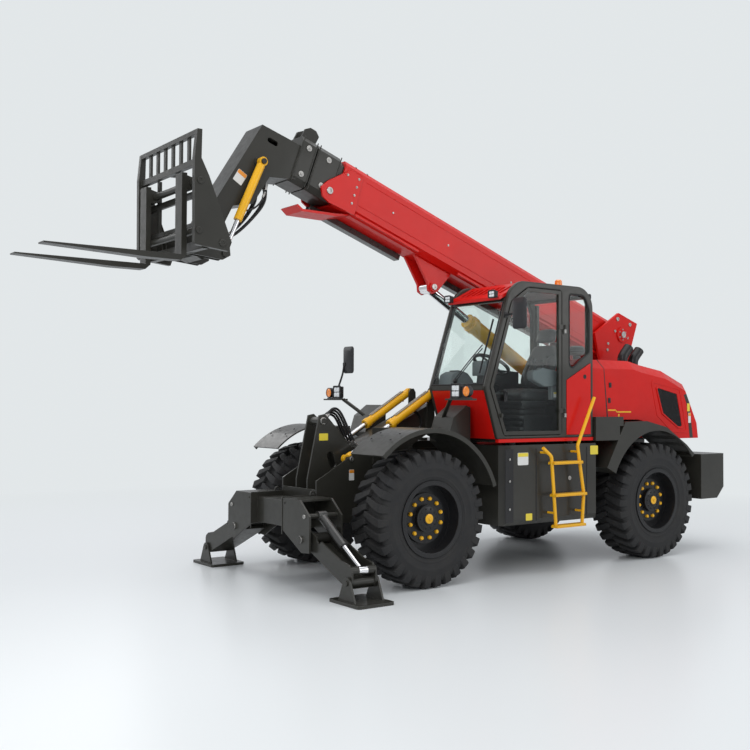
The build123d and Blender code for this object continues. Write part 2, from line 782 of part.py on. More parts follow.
# With the leg folded up, its upper edge clears the cylinder's base pin by a round notch
notch_reach = hypot(leg_cylinder_base_y - leg_pivot_y, leg_cylinder_base_z - leg_pivot_z)
notch_turn = atan2(leg_cylinder_base_z - leg_pivot_z, leg_cylinder_base_y - leg_pivot_y) - radians(leg_swing)
notch_y = leg_pivot_y + notch_reach * cos(notch_turn)
notch_z = leg_pivot_z + notch_reach * sin(notch_turn)
eye_half_width = 45
with BuildPart() as leg_left:
    front_plate([leg_point(u, v) for u, v in leg_outline], leg_x[0], leg_x[1])
    channel = [leg_point(u, v) for u, v in leg_inside]
    front_plate(channel, leg_x[0] + leg_plate, leg_x[1] - leg_plate, mode=Mode.SUBTRACT)
    long_pin(leg_pivot_y, leg_pivot_z, leg_pin_radius + 18, leg_x[0], leg_x[1])
    long_pin(foot_pin_y, foot_pin_z, foot_pin_radius + 16, leg_x[0], leg_x[1])
    for x_pair in ((leg_x[0], leg_middle_x - eye_half_width - 2), (leg_middle_x + eye_half_width + 2, leg_x[1])):
        long_pin(eye_y, eye_z, 38, x_pair[0], x_pair[1])
    long_pin(notch_y, notch_z, foot_pin_radius + leg_notch_gap, leg_x[0], leg_x[1], Mode.SUBTRACT)
    long_pin(leg_pivot_y, leg_pivot_z, leg_pin_radius + running_gap, leg_x[0], leg_x[1], Mode.SUBTRACT)
    long_pin(foot_pin_y, foot_pin_z, foot_pin_radius + running_gap, leg_x[0], leg_x[1], Mode.SUBTRACT)
leg_left.part.label = "leg_left"
export_step(leg_left.part, "parts/leg_left.step")

# Foot: pad with two ears outside the leg's end, and its pin
pad_middle_y = foot_pin_y + 5
ear_outline = [
    (pad_middle_y - 130, pad_thickness),
    (pad_middle_y + 120, pad_thickness),
    (foot_pin_y + 45, foot_pin_z + 25),
    (foot_pin_y + 20, foot_pin_z + 48),
    (foot_pin_y - 20, foot_pin_z + 48),
    (foot_pin_y - 45, foot_pin_z + 25),
]
ear_gap = 5
with BuildPart() as foot_left:
    pad_x = (leg_middle_x - pad_width / 2, leg_middle_x + pad_width / 2)
    pad_y = (pad_middle_y - pad_length / 2, pad_middle_y + pad_length / 2)
    block(pad_x, pad_y, (0, pad_thickness))
    chamfer(foot_left.edges().filter_by(Axis.Z), 20)
    for x_pair in ((leg_x[0] - ear_gap - ear_plate, leg_x[0] - ear_gap), (leg_x[1] + ear_gap, leg_x[1] + ear_gap + ear_plate)):
        front_plate(ear_outline, x_pair[0], x_pair[1])
    pin_x = (leg_x[0] - ear_gap - ear_plate - 12, leg_x[1] + ear_gap + ear_plate + 12)
    long_pin(foot_pin_y, foot_pin_z, foot_pin_radius, pin_x[0], pin_x[1])
foot_left.part.label = "foot_left"
export_step(foot_left.part, "parts/foot_left.step")

# Leg cylinder: barrel with base eye and gland, rod with piston and eye
leg_stroke_line = hypot(eye_y - leg_cylinder_base_y, eye_z - leg_cylinder_base_z)
leg_cylinder_angle = degrees(atan2(eye_z - leg_cylinder_base_z, eye_y - leg_cylinder_base_y))
leg_line = front_line(leg_middle_x, leg_cylinder_base_y, leg_cylinder_base_z, leg_cylinder_angle)
eye_x = (leg_middle_x - eye_half_width, leg_middle_x + eye_half_width)
piston_length = 40
gland_length = 40
with BuildPart() as leg_barrel_left:
    bar(leg_line, leg_barrel_radius, 38, leg_barrel_length)
    long_pin(leg_cylinder_base_y, leg_cylinder_base_z, 42, eye_x[0], eye_x[1])
    bar(leg_line, leg_barrel_radius - 8, 60, leg_barrel_length - gland_length, Mode.SUBTRACT)
    bar(leg_line, leg_rod_radius + running_gap, 60, leg_barrel_length, Mode.SUBTRACT)
    bore = foot_pin_radius + running_gap
    long_pin(leg_cylinder_base_y, leg_cylinder_base_z, bore, eye_x[0], eye_x[1], Mode.SUBTRACT)
leg_barrel_left.part.label = "leg_barrel_left"
export_step(leg_barrel_left.part, "parts/leg_barrel_left.step")

leg_piston_end = leg_barrel_length - gland_length - 10
with BuildPart() as leg_rod_left:
    bar(leg_line, leg_rod_radius, leg_piston_end - piston_length, leg_stroke_line)
    bar(leg_line, leg_barrel_radius - 8 - running_gap, leg_piston_end - piston_length, leg_piston_end)
    long_pin(eye_y, eye_z, 38, eye_x[0], eye_x[1])
leg_rod_left.part.label = "leg_rod_left"
export_step(leg_rod_left.part, "parts/leg_rod_left.step")

for name, left_piece in (
    ("leg", leg_left),
    ("foot", foot_left),
    ("leg_barrel", leg_barrel_left),
    ("leg_rod", leg_rod_left),
):
    with BuildPart() as right_piece:
        mirror(left_piece.part, about=Plane.XZ)
    right_piece.part.label = name + "_right"
    export_step(right_piece.part, "parts/" + name + "_right.step")

# Boom tower: two plates beside the boom's tail, with pivot pin, lift pin and ties
tower_outline = [
    (-1652, 2600),
    (-2093, 2867),
    (-2439, 2751),
    (-2300, 2379),
    (-2400, deck_top),
    (-1480, deck_top),
    (-1745, 2287),
]
lift_clevis_inner = 92
with BuildPart() as boom_tower:
    plate(tower_outline, tower_inner, tower_outer)
    plate([(-1750, deck_top), (-1450, deck_top), (-1550, 1740), (-1650, 1740)], lift_clevis_inner, lift_clevis_inner + 28)
    side_pin(boom_pivot_x, boom_pivot_z, boom_pin_radius + 40, tower_outer, tower_outer + 15)
    mirror(about=Plane.XZ)
    block((-2310, -2285), (-tower_inner, tower_inner), (deck_top, 2100))
    block((-1900, -1875), (-tower_inner, tower_inner), (deck_top, 1900))
    side_pin(boom_pivot_x, boom_pivot_z, boom_pin_radius, -tower_outer - 25, tower_outer + 25)
    side_pin(lift_base_x, lift_base_z, lift_pin_radius, -lift_clevis_inner - 40, lift_clevis_inner + 40)
boom_tower.part.label = "boom_tower"
export_step(boom_tower.part, "parts/boom_tower.step")

# Boom: outer section with pivot bosses, lift bracket, nose ears and the tray under its nose
mouth_width = boom_width - 2 * boom_wall
mouth_height = boom_height - 2 * boom_wall
width_2 = mouth_width - 2 * stage_gap
height_2 = mouth_height - 2 * stage_gap
width_3 = width_2 - 2 * boom_wall - 2 * stage_gap
height_3 = height_2 - 2 * boom_wall - 2 * stage_gap
lift_bracket = [
    (2700, boom_bottom),
    (lift_eye_s - 75, lift_eye_t - 20),
    (lift_eye_s - 20, lift_eye_t - 70),
    (lift_eye_s + 45, lift_eye_t - 60),
    (lift_eye_s + 80, lift_eye_t + 10),
    (3240, boom_bottom),
]
nose_ear = [
    (4180, 40),
    (4330, 60),
    (4560, -190),
    (4610, -278),
    (4560, -360),
    (4470, -385),
    (4150, boom_bottom),
]
nose_tray = [
    (4200, boom_bottom),
    (4330, boom_bottom - 60),
    (4700, boom_bottom - 190),
    (4770, boom_bottom - 170),
    (4780, boom_bottom - 185),
    (4700, boom_bottom - 215),
    (4320, boom_bottom - 85),
    (4160, boom_bottom),
]
bracket_outer = lift_bracket_inner + lift_bracket_plate
with BuildPart() as boom_outer:
    boom_tube(boom_width, boom_height, boom_tail, boom_front)
    boom_pin(0, 0, boom_boss_radius, -tower_inner + free_gap, tower_inner - free_gap)
    for bracket_y in ((lift_bracket_inner, bracket_outer), (-bracket_outer, -lift_bracket_inner)):
        boom_plate(lift_bracket, bracket_y[0], bracket_y[1])
        outer_y = bracket_outer if bracket_y[0] > 0 else -bracket_outer - 20
        boom_pin(lift_eye_s, lift_eye_t, 52, outer_y, outer_y + 20)
    for ear_y in ((boom_width / 2, boom_width / 2 + 20), (-boom_width / 2 - 20, -boom_width / 2)):
        boom_plate(nose_ear, ear_y[0], ear_y[1])
    boom_plate(nose_tray, -boom_width / 2 + 30, boom_width / 2 - 30)
    boom_tube(mouth_width, mouth_height, 160, boom_front, Mode.SUBTRACT)
    boom_pin(0, 0, boom_pin_radius + running_gap, -tower_inner, tower_inner, Mode.SUBTRACT)
    boom_tube(mouth_width, mouth_height, boom_front - pad_ring, boom_front)
    boom_tube(width_2 + 2 * pad_gap, height_2 + 2 * pad_gap, boom_front - pad_ring, boom_front, Mode.SUBTRACT)
boom_outer.part.label = "boom_outer"
export_step(boom_outer.part, "parts/boom_outer.step")

# Second section, with its collar and the wear pads at its tail and mouth
with BuildPart() as boom_stage_2:
    boom_tube(width_2, height_2, stage_2_tail, collar_2_end)
    boom_tube(collar_width, collar_height, collar_2_start, collar_2_end)
    boom_tube(mouth_width - 2 * pad_gap, mouth_height - 2 * pad_gap, stage_2_tail, stage_2_tail + pad_ring)
    hollow_2 = (width_2 - 2 * boom_wall, height_2 - 2 * boom_wall)
    boom_tube(hollow_2[0], hollow_2[1], stage_2_tail, collar_2_end, Mode.SUBTRACT)
    boom_tube(hollow_2[0], hollow_2[1], collar_2_end - pad_ring, collar_2_end)
    slide_3 = (width_3 + 2 * pad_gap, height_3 + 2 * pad_gap)
    boom_tube(slide_3[0], slide_3[1], collar_2_end - pad_ring, collar_2_end, Mode.SUBTRACT)
boom_stage_2.part.label = "boom_stage_2"
export_step(boom_stage_2.part, "parts/boom_stage_2.step")

# Third section, with its collar and the gooseneck that holds the carriage
neck_start = boom_point(collar_3_end - 60, 12)
neck_under = boom_point(collar_3_end - 60, -333)
gooseneck_outline = [
    neck_start,
    (2935, 4393),
    (3425, 3612),
    (carriage_pivot_x + 95, carriage_pivot_z + 30),
    (carriage_pivot_x + 70, carriage_pivot_z - 65),
    (carriage_pivot_x, carriage_pivot_z - 95),
    (carriage_pivot_x - 70, carriage_pivot_z - 65),
    (carriage_pivot_x - 100, carriage_pivot_z + 20),
    (3244, 3577),
    (3025, 3629),
    (2853, 3899),
    neck_under,
]
nose_lug = [(4720, 100), (4740, 230), (4790, 270), (4860, 270), (4910, 230), (4930, 100)]
with BuildPart() as boom_stage_3:
    boom_tube(width_3, height_3, stage_3_tail, collar_3_end)
    boom_tube(collar_width, collar_height, collar_3_start, collar_3_end)
    tail_pad = (hollow_2[0] - 2 * pad_gap, hollow_2[1] - 2 * pad_gap)
    boom_tube(tail_pad[0], tail_pad[1], stage_3_tail, stage_3_tail + pad_ring)
    hollow_3 = (width_3 - 2 * boom_wall, height_3 - 2 * boom_wall)
    boom_tube(hollow_3[0], hollow_3[1], stage_3_tail, collar_3_start, Mode.SUBTRACT)
    plate(gooseneck_outline, -gooseneck_half_width, gooseneck_half_width)
    for lug_y in ((60, 85), (-85, -60)):
        lug = [(s + 40, t) for s, t in nose_lug[:1]] + [(s, t) for s, t in nose_lug[1:]]
        boom_plate(lug, lug_y[0], lug_y[1])
    inside = [
        (2960, 4290),
        (3390, 3600),
        (3290, 3625),
        (3055, 3670),
        (2890, 3925),
        boom_point(collar_3_end, -300),
        boom_point(collar_3_end, -20),
    ]
    plate(inside, -gooseneck_half_width + 20, gooseneck_half_width - 20, mode=Mode.SUBTRACT)
    with BuildSketch(side(gooseneck_half_width)) as window:
        with Locations((2820, 4244)):
            SlotOverall(120, 50, rotation=boom_angle)
    extrude(window.sketch, amount=2 * gooseneck_half_width, mode=Mode.SUBTRACT)
    tilt_inner_y = tilt_y - 34
    side_pin(tilt_base_x, tilt_base_z, 55, -tilt_inner_y + free_gap, tilt_inner_y - free_gap)
    side_pin(tilt_base_x, tilt_base_z, 26, -tilt_y - 45, tilt_y + 45)
    bore = carriage_pin_radius + running_gap
    side_pin(carriage_pivot_x, carriage_pivot_z, bore, -gooseneck_half_width, gooseneck_half_width, Mode.SUBTRACT)
boom_stage_3.part.label = "boom_stage_3"
export_step(boom_stage_3.part, "parts/boom_stage_3.step")

# Lift cylinder: barrel with base eye and gland, rod with piston and eye
lift_eye_x, lift_eye_z = boom_point(lift_eye_s, lift_eye_t)
lift_reach = hypot(lift_eye_x - lift_base_x, lift_eye_z - lift_base_z)
lift_angle = degrees(atan2(lift_eye_z - lift_base_z, lift_eye_x - lift_base_x))
lift_line = side_line(lift_base_x, 0, lift_base_z, lift_angle)
lift_gland = 90
lift_piston = (620, 700)
with BuildPart() as lift_barrel:
    bar(lift_line, lift_barrel_radius, 60, lift_barrel_length)
    bar(lift_line, lift_barrel_radius + 12, lift_barrel_length - 120, lift_barrel_length - 60)
    side_pin(lift_base_x, lift_base_z, 78, -lift_clevis_inner + 4, lift_clevis_inner - 4)
    bar(lift_line, lift_bore, 110, lift_barrel_length - lift_gland, Mode.SUBTRACT)
    bar(lift_line, lift_rod_radius + running_gap, 110, lift_barrel_length, Mode.SUBTRACT)
    side_pin(lift_base_x, lift_base_z, lift_pin_radius + running_gap, -100, 100, Mode.SUBTRACT)
lift_barrel.part.label = "lift_barrel"
export_step(lift_barrel.part, "parts/lift_barrel.step")

lift_eye_half = lift_bracket_inner - 2
with BuildPart() as lift_rod:
    bar(lift_line, lift_rod_radius, lift_piston[0], lift_reach)
    bar(lift_line, lift_bore - running_gap, lift_piston[0], lift_piston[1])
    side_pin(lift_eye_x, lift_eye_z, lift_eye_radius, -lift_eye_half, lift_eye_half)
lift_rod.part.label = "lift_rod"
export_step(lift_rod.part, "parts/lift_rod.step")

# Tilt cylinders: a pair of barrels on the gooseneck's cross pin and a pair of rods
tilt_eye_x = carriage_pivot_x + tilt_eye_radius_from_pivot * cos(radians(tilt_eye_angle))
tilt_eye_z = carriage_pivot_z + tilt_eye_radius_from_pivot * sin(radians(tilt_eye_angle))
tilt_reach = hypot(tilt_eye_x - tilt_base_x, tilt_eye_z - tilt_base_z)
tilt_angle = degrees(atan2(tilt_eye_z - tilt_base_z, tilt_eye_x - tilt_base_x))
tilt_line = side_line(tilt_base_x, tilt_y, tilt_base_z, tilt_angle)
tilt_eye_half = 26
tilt_gland = 40
tilt_bore = tilt_barrel_radius - 7
tilt_piston = (420, 460)
with BuildPart() as tilt_barrels:
    bar(tilt_line, tilt_barrel_radius, 40, tilt_barrel_length)
    side_pin(tilt_base_x, tilt_base_z, 44, tilt_y - tilt_eye_half, tilt_y + tilt_eye_half)
    bar(tilt_line, tilt_bore, 80, tilt_barrel_length - tilt_gland, Mode.SUBTRACT)
    bar(tilt_line, tilt_rod_radius + running_gap, 80, tilt_barrel_length, Mode.SUBTRACT)
    side_pin(tilt_base_x, tilt_base_z, 26 + running_gap, 100, 300, Mode.SUBTRACT)
    mirror(about=Plane.XZ)
tilt_barrels.part.label = "tilt_barrels"
export_step(tilt_barrels.part, "parts/tilt_barrels.step")

with BuildPart() as tilt_rods:
    bar(tilt_line, tilt_rod_radius, tilt_piston[0], tilt_reach)
    bar(tilt_line, tilt_bore - running_gap, tilt_piston[0], tilt_piston[1])
    side_pin(tilt_eye_x, tilt_eye_z, 38, tilt_y - tilt_eye_half, tilt_y + tilt_eye_half)
    mirror(about=Plane.XZ)
tilt_rods.part.label = "tilt_rods"
export_step(tilt_rods.part, "parts/tilt_rods.step")

# Carriage: side plates, cross bars for the forks, pivot ears with their pin, and the backrest
ear_inner = (gooseneck_half_width + free_gap, gooseneck_half_width + free_gap + 15)
ear_outer = (tilt_y + tilt_eye_half + 3, tilt_y + tilt_eye_half + 20)
side_plate_outline = [
    (fork_face_x - 60, 3100),
    (fork_face_x - 40, 3116),
    (fork_face_x - 35, 3856),
    (fork_face_x - 60, 4107),
    (fork_face_x - 105, 4107),
    (fork_face_x - 100, 3856),
    (3724, 3709),
    (3500, 3150),
    (3530, 3069),
]
pivot_ear = [
    (3760, 3080),
    (3760, 3330),
    (3660, 3300),
    (3330, 3190),
    (3320, 3090),
    (3400, 3045),
]
fork_pin_x = fork_face_x - 100
fork_rest_x = fork_face_x - fork_thickness - seat_gap - fork_bar_radius
with BuildPart() as carriage:
    plate(side_plate_outline, carriage_half_width - carriage_plate, carriage_half_width)
    plate(pivot_ear, ear_inner[0], ear_inner[1])
    plate(pivot_ear, ear_outer[0], ear_outer[1])
    side_pin(tilt_eye_x, tilt_eye_z, 36, ear_outer[1], ear_outer[1] + 15)
    mirror(about=Plane.XZ)
    inner = carriage_half_width - carriage_plate
    block((3700, 3760), (-inner, inner), (3080, 3160))
    block((3700, 3760), (-inner, inner), (3290, 3330))
    block((3712, 3738), (-inner, inner), (3560, 3620))
    side_pin(fork_pin_x, 3663, fork_bar_radius, -inner, inner)
    side_pin(fork_rest_x, 3229, fork_bar_radius, -inner, inner)
    side_pin(carriage_pivot_x, carriage_pivot_z, carriage_pin_radius, -ear_outer[1], ear_outer[1])
    for post_y in ((-430, -380), (-25, 25), (380, 430)):
        block((3712, 3738), post_y, (3160, 3830))
    block((fork_face_x - 105, fork_face_x - 60), (-inner, inner), (3800, 3856))
    block((fork_face_x - 105, fork_face_x - 60), (-inner, inner), (4065, 4107))
    for index in range(6):
        slat_y = (index - 2.5) * 2 * inner / 7
        block((fork_face_x - 95, fork_face_x - 75), (slat_y - 22, slat_y + 22), (3856, 4065))
    block((3712, fork_face_x - 60), (-25, 25), (3800, 3830))
carriage.part.label = "carriage"
export_step(carriage.part, "parts/carriage.step")

# Forks: eyes round the upper bar, shanks, heels and tapered tines
fork_profile = [
    (fork_face_x, fork_heel_z + 50),
    (fork_face_x + fork_length, fork_heel_z + 50),
    (fork_face_x + fork_length, fork_heel_z + 38),
    (fork_face_x + 320, fork_heel_z),
    (fork_face_x, fork_heel_z),
    (fork_face_x - fork_thickness, fork_heel_z + 45),
    (fork_face_x - fork_thickness, fork_top),
    (fork_face_x, fork_top),
]
with BuildPart() as forks:
    low_y = fork_spacing / 2 - fork_width / 2
    plate(fork_profile, low_y, low_y + fork_width)
    plate([(fork_pin_x, 3610), (fork_face_x - 45, 3600), (fork_face_x - 45, 3730), (fork_pin_x, 3716)], low_y, low_y + fork_width)
    side_pin(fork_pin_x, 3663, 53, low_y, low_y + fork_width)
    side_pin(fork_pin_x, 3663, fork_bar_radius + running_gap, low_y, low_y + fork_width, Mode.SUBTRACT)
    mirror(about=Plane.XZ)
forks.part.label = "forks"
export_step(forks.part, "parts/forks.step")

# Levelling cylinders: fixed barrels and rods between the beam's uprights and the nose
level_reach = hypot(level_foot_x - level_top_x, level_foot_z - level_top_z)
level_angle = degrees(atan2(level_foot_z - level_top_z, level_foot_x - level_top_x))
level_line = side_line(level_top_x, level_y, level_top_z, level_angle)
with BuildPart() as levelling_cylinders:
    bar(level_line, level_barrel_radius, 30, level_barrel_length)
    bar(level_line, level_barrel_radius + 8, level_barrel_length - 60, level_barrel_length)
    bar(level_line, level_rod_radius, level_barrel_length, level_reach)
    for x, z in ((level_top_x, level_top_z), (level_foot_x, level_foot_z)):
        side_pin(x, z, 40, level_y - 25, level_y + 25)
    for x, z in ((level_top_x, level_top_z), (level_foot_x, level_foot_z)):
        side_pin(x, z, level_pin_radius + running_gap, level_y - 60, level_y + 60, Mode.SUBTRACT)
    mirror(about=Plane.XZ)
levelling_cylinders.part.label = "levelling_cylinders"
export_step(levelling_cylinders.part, "parts/levelling_cylinders.step")

# Hood: rounded shell over the engine, its lower edge following the rear fender
hood_top = [(-620, 2230), (-1400, 2230), (-1600, 2190), (-2000, 2130), (-2400, 1980), (-2500, 1800), (-2570, deck_top)]
cover_top = [(-620, 1960), (-2000, 1900), (-2400, 1800), (-2500, 1700), (-2570, deck_top)]
arch_edge = [(-2080, deck_top), (-1830, 1500), (-1461, 1566), (-1085, 1566), (-960, deck_top)]


def cover_block(outline, inset, edge_floor):
    """Left cover as a solid, drawn in by an inset, with a chamfered upper outer edge."""
    with BuildPart() as solid:
        with BuildSketch(side(hood_outer_y - inset)) as profile:
            with BuildLine():
                Polyline(*outline, close=True)
            make_face()
            if inset:
                offset(amount=-inset, kind=Kind.INTERSECTION)
        extrude(profile.sketch, amount=hood_outer_y - hood_inner_y - 2 * inset)
        outer_face = solid.faces().filter_by(Axis.Y).sort_by(Axis.Y)[-1]
        chamfer(outer_face.edges().filter_by(lambda edge: edge.center().Z > edge_floor), hood_chamfer)
        with BuildSketch(side(hood_outer_y + 1)) as arch:
            with BuildLine():
                Polyline(*arch_edge, close=True)
            make_face()
            if inset:
                offset(amount=inset, kind=Kind.INTERSECTION)
        extrude(arch.sketch, amount=hood_outer_y + 1 - deck_half_width + inset, mode=Mode.SUBTRACT)
    return solid.part


def cover(top):
    """Left cover as a shell, open below."""
    outline = top + [(-620, deck_top)]
    edge_floor = top[-2][1]
    with BuildPart() as shell:
        add(cover_block(outline, 0, edge_floor))
        add(cover_block(outline, hood_wall, edge_floor), mode=Mode.SUBTRACT)
        opening_z = (deck_top - 1, deck_top + hood_wall + 1)
        inner_y = hood_inner_y + hood_wall
        block((-2558, -630), (inner_y, deck_half_width - hood_wall), opening_z, mode=Mode.SUBTRACT)
    return shell.part


def hood_height(x):
    """Height of the hood's top line."""
    for front, rear in zip(hood_top, hood_top[1:]):
        if rear[0] <= x <= front[0]:
            share = (x - front[0]) / (rear[0] - front[0])
            return front[1] + share * (rear[1] - front[1])
    return deck_top


with BuildPart() as hood:
    add(cover(hood_top))
hood.part.label = "hood"
export_step(hood.part, "parts/hood.step")

with BuildPart() as right_cover:
    mirror(cover(cover_top), about=Plane.XZ)
right_cover.part.label = "right_cover"
export_step(right_cover.part, "parts/right_cover.step")

# Engine: one plain block on the deck, stepped over the fender
with BuildPart() as engine_block:
    block((-2200, -1150), (330, 620), (deck_top, 1600))
    block((-2200, -1150), (330, 900), (1600, 2000))
engine_block.part.label = "engine_block"
export_step(engine_block.part, "parts/engine_block.step")

# Exhaust stacks, curved back at their tops, and the round air cleaner
stack_radius = 62
with BuildPart() as exhausts:
    for stack_x in (-1790, -1980):
        foot_z = hood_height(stack_x + stack_radius) + seat_gap
        points = [(stack_x, foot_z), (stack_x, foot_z + 130), (stack_x - 120, foot_z + 260)]
        with BuildLine() as bend:
            FilletPolyline(*[(origin_x + x, 560, z) for x, z in points], radius=110)
        with BuildSketch(Plane(origin=bend.line @ 0, z_dir=(0, 0, 1))) as pipe:
            Circle(stack_radius)
        sweep(pipe.sketch, path=bend.line)
        with BuildSketch(Plane(origin=bend.line @ 1, z_dir=bend.line % 1)) as mouth:
            Circle(stack_radius - 8)
        extrude(mouth.sketch, amount=-60, mode=Mode.SUBTRACT)
    cleaner_foot = hood_height(-900) + seat_gap
    upright_pin(-900, 640, 40, cleaner_foot, cleaner_foot + 70)
    upright_pin(-900, 640, 95, cleaner_foot + 60, cleaner_foot + 170)
exhausts.part.label = "exhausts"
export_step(exhausts.part, "parts/exhausts.step")

# Cab: side rings with their openings, floor, sills and headers
cab_outline = [
    (cab_rear_x, 1385),
    (cab_rear_x, cab_roof_top),
    (400, cab_roof_top),
    (668, 2800),
    (968, 1905),
    (802, 1385),
]
doorway = [(-115, 1416), (714, 1416), (906, 1903), (611, 2778), (380, 2930), (-115, 2930)]
quarter_window = [(-230, 2080), (-230, 2900), (-470, 2900), (-540, 2750), (-540, 2290)]
panel_opening = [(-190, 1416), (-560, 1416), (-560, 2180), (-190, 1990)]
right_window = [(-540, 1960), (-540, 2750), (-470, 2900), (380, 2930), (611, 2778), (880, 1960)]
left_inner = cab_outer_y - cab_wall
right_inner = cab_inner_y + cab_wall
hinge_x = -150
hinge_y = cab_outer_y + 14
hinge_heights = (1600, 2480)
with BuildPart() as cab_frame:
    for y_pair in ((left_inner, cab_outer_y), (cab_inner_y, right_inner)):
        with BuildSketch(side(y_pair[1])) as ring:
            with BuildLine():
                Polyline(*cab_outline, close=True)
            make_face()
            fillet(ring.vertices().sort_by(Axis.X)[:2].sort_by(Axis.Z)[-1], 230)
        extrude(ring.sketch, amount=cab_wall)
    plate(doorway, left_inner - 1, cab_outer_y + 1, mode=Mode.SUBTRACT, corner=30)
    plate(quarter_window, left_inner - 1, cab_outer_y + 1, mode=Mode.SUBTRACT, corner=30)
    plate(panel_opening, left_inner - 1, cab_outer_y + 1, mode=Mode.SUBTRACT)
    plate(right_window, cab_inner_y - 1, right_inner + 1, mode=Mode.SUBTRACT, corner=30)
    between = (right_inner, left_inner)
    block((cab_rear_x, 760), between, (cab_floor_bottom, cab_floor_top))
    block((cab_rear_x, 760), (cab_inner_y, right_inner), (cab_floor_bottom, 1385))
    plate([(905, 1870), (957, 1870), (960, 1925), (905, 1925)], between[0], between[1])
    plate([(620, 2770), (676, 2770), (666, 2802), (600, 2850), (580, 2820)], between[0], between[1])
    plate([(360, 2950), (400, 2950), (400, 2985), (360, 2985)], between[0], between[1])
    block((cab_rear_x, cab_rear_x + 40), between, (1920, 1970))
    block((-560, -500), between, (2870, 2940))
    for hinge_z in hinge_heights:
        block((hinge_x - 14, hinge_x + 14), (cab_outer_y, hinge_y), (hinge_z, hinge_z + 40))
        upright_pin(hinge_x, hinge_y, 14, hinge_z, hinge_z + 40)
        upright_pin(hinge_x, hinge_y, 6, hinge_z + 40, hinge_z + 90)
cab_frame.part.label = "cab_frame"
export_step(cab_frame.part, "parts/cab_frame.step")

# Cab panels: lower front, lower rear side, rear wall and skirt
with BuildPart() as cab_panels:
    front_wall = [(762, 1385), (800, 1385), (955, 1869.7), (917, 1869.7)]
    plate(front_wall, between[0] + seat_gap, between[1] - seat_gap)
    with BuildSketch(side(cab_outer_y)) as rear_panel:
        with BuildLine():
            Polyline(*panel_opening, close=True)
        make_face()
        offset(amount=-seat_gap, kind=Kind.INTERSECTION)
    extrude(rear_panel.sketch, amount=cab_wall)
    block((cab_rear_x, cab_rear_x + 40), (between[0] + seat_gap, between[1] - seat_gap), (cab_floor_top, 1919.7))
    block((cab_rear_x, 790), (left_inner + seat_gap, cab_outer_y), (cab_floor_bottom, 1384.7))
cab_panels.part.label = "cab_panels"
export_step(cab_panels.part, "parts/cab_panels.step")

# Roof: panel between the rings and a slotted visor that slopes down in front
visor_slots = 8
with BuildPart() as cab_roof:
    block((-480, 359.7), (between[0] + seat_gap, between[1] - seat_gap), (2945, 2985))
    visor = [(400.3, 2955), (400.3, 2985), (742, 2815), (735, 2785), (690, 2806)]
    plate(visor, between[0] + seat_gap, between[1] - seat_gap)
    slot_pitch = (between[1] - between[0] - 120) / visor_slots
    for index in range(visor_slots):
        slot_y = between[0] + 60 + (index + 0.5) * slot_pitch
        block((470, 640), (slot_y - slot_pitch / 2 + 14, slot_y + slot_pitch / 2 - 14), (2700, 3000), mode=Mode.SUBTRACT)
cab_roof.part.label = "cab_roof"
export_step(cab_roof.part, "parts/cab_roof.step")

# Cab glass: windscreen, right side, rear and quarter panes, set in their openings
with BuildPart() as cab_glass:
    screen = [(948, 1925.3), (956, 1925.3), (672, 2769.7), (664, 2769.7)]
    plate(screen, between[0] + seat_gap, between[1] - seat_gap)
    block((cab_rear_x + 12, cab_rear_x + 18), (between[0] + seat_gap, between[1] - seat_gap), (1970.3, 2750))
    for pane, pane_y in ((quarter_window, left_inner + 18), (right_window, cab_inner_y + 18)):
        with BuildSketch(side(pane_y + door_glass)) as glazing:
            with BuildLine():
                Polyline(*pane, close=True)
            make_face()
            fillet(glazing.vertices(), 30)
            offset(amount=-seat_gap)
        extrude(glazing.sketch, amount=door_glass)
cab_glass.part.label = "cab_glass"
export_step(cab_glass.part, "parts/cab_glass.step")

# Door: slim frame in the doorway, hung on the rear post, with its pane
with BuildPart() as door_frame:
    with BuildSketch(side(cab_outer_y)) as door_ring:
        with BuildLine():
            Polyline(*doorway, close=True)
        make_face()
        fillet(door_ring.vertices(), 30)
        offset(amount=-free_gap)
        offset(amount=-38, mode=Mode.SUBTRACT)
    extrude(door_ring.sketch, amount=36)
    for hinge_z in hinge_heights:
        block((hinge_x, -70), (cab_outer_y + 1.5, cab_outer_y + 9), (hinge_z + 41, hinge_z + 89))
        block((-105, -70), (cab_outer_y - 10, cab_outer_y + 9), (hinge_z + 41, hinge_z + 89))
        upright_pin(hinge_x, hinge_y, 12, hinge_z + 41, hinge_z + 89)
        upright_pin(hinge_x, hinge_y, 6 + running_gap, hinge_z + 41, hinge_z + 89, Mode.SUBTRACT)
    block((752, 772), (cab_outer_y - 4, cab_outer_y + 26), (1600, 1640))
door_frame.part.label = "door_frame"
export_step(door_frame.part, "parts/door_frame.step")

with BuildPart() as door_pane:
    with BuildSketch(side(cab_outer_y - 15)) as glazing:
        with BuildLine():
            Polyline(*doorway, close=True)
        make_face()
        fillet(glazing.vertices(), 30)
        offset(amount=-free_gap - 38 - seat_gap)
    extrude(glazing.sketch, amount=door_glass)
door_pane.part.label = "door_pane"
export_step(door_pane.part, "parts/door_pane.step")

# Operator's chair: sprung base, cushion, and a backrest with its head pad
chair_middle_y = 690
with BuildPart() as chair_base:
    block((-250, 170), (chair_middle_y - 190, chair_middle_y + 190), (cab_floor_top, 1600))
    block((-210, 130), (chair_middle_y - 160, chair_middle_y + 160), (1600, 1720))
    block((-280, 220), (chair_middle_y - 210, chair_middle_y + 210), (1720, 1770))
    block((-330, -280), (chair_middle_y - 60, chair_middle_y + 60), (1720, 1960))
chair_base.part.label = "chair_base"
export_step(chair_base.part, "parts/chair_base.step")

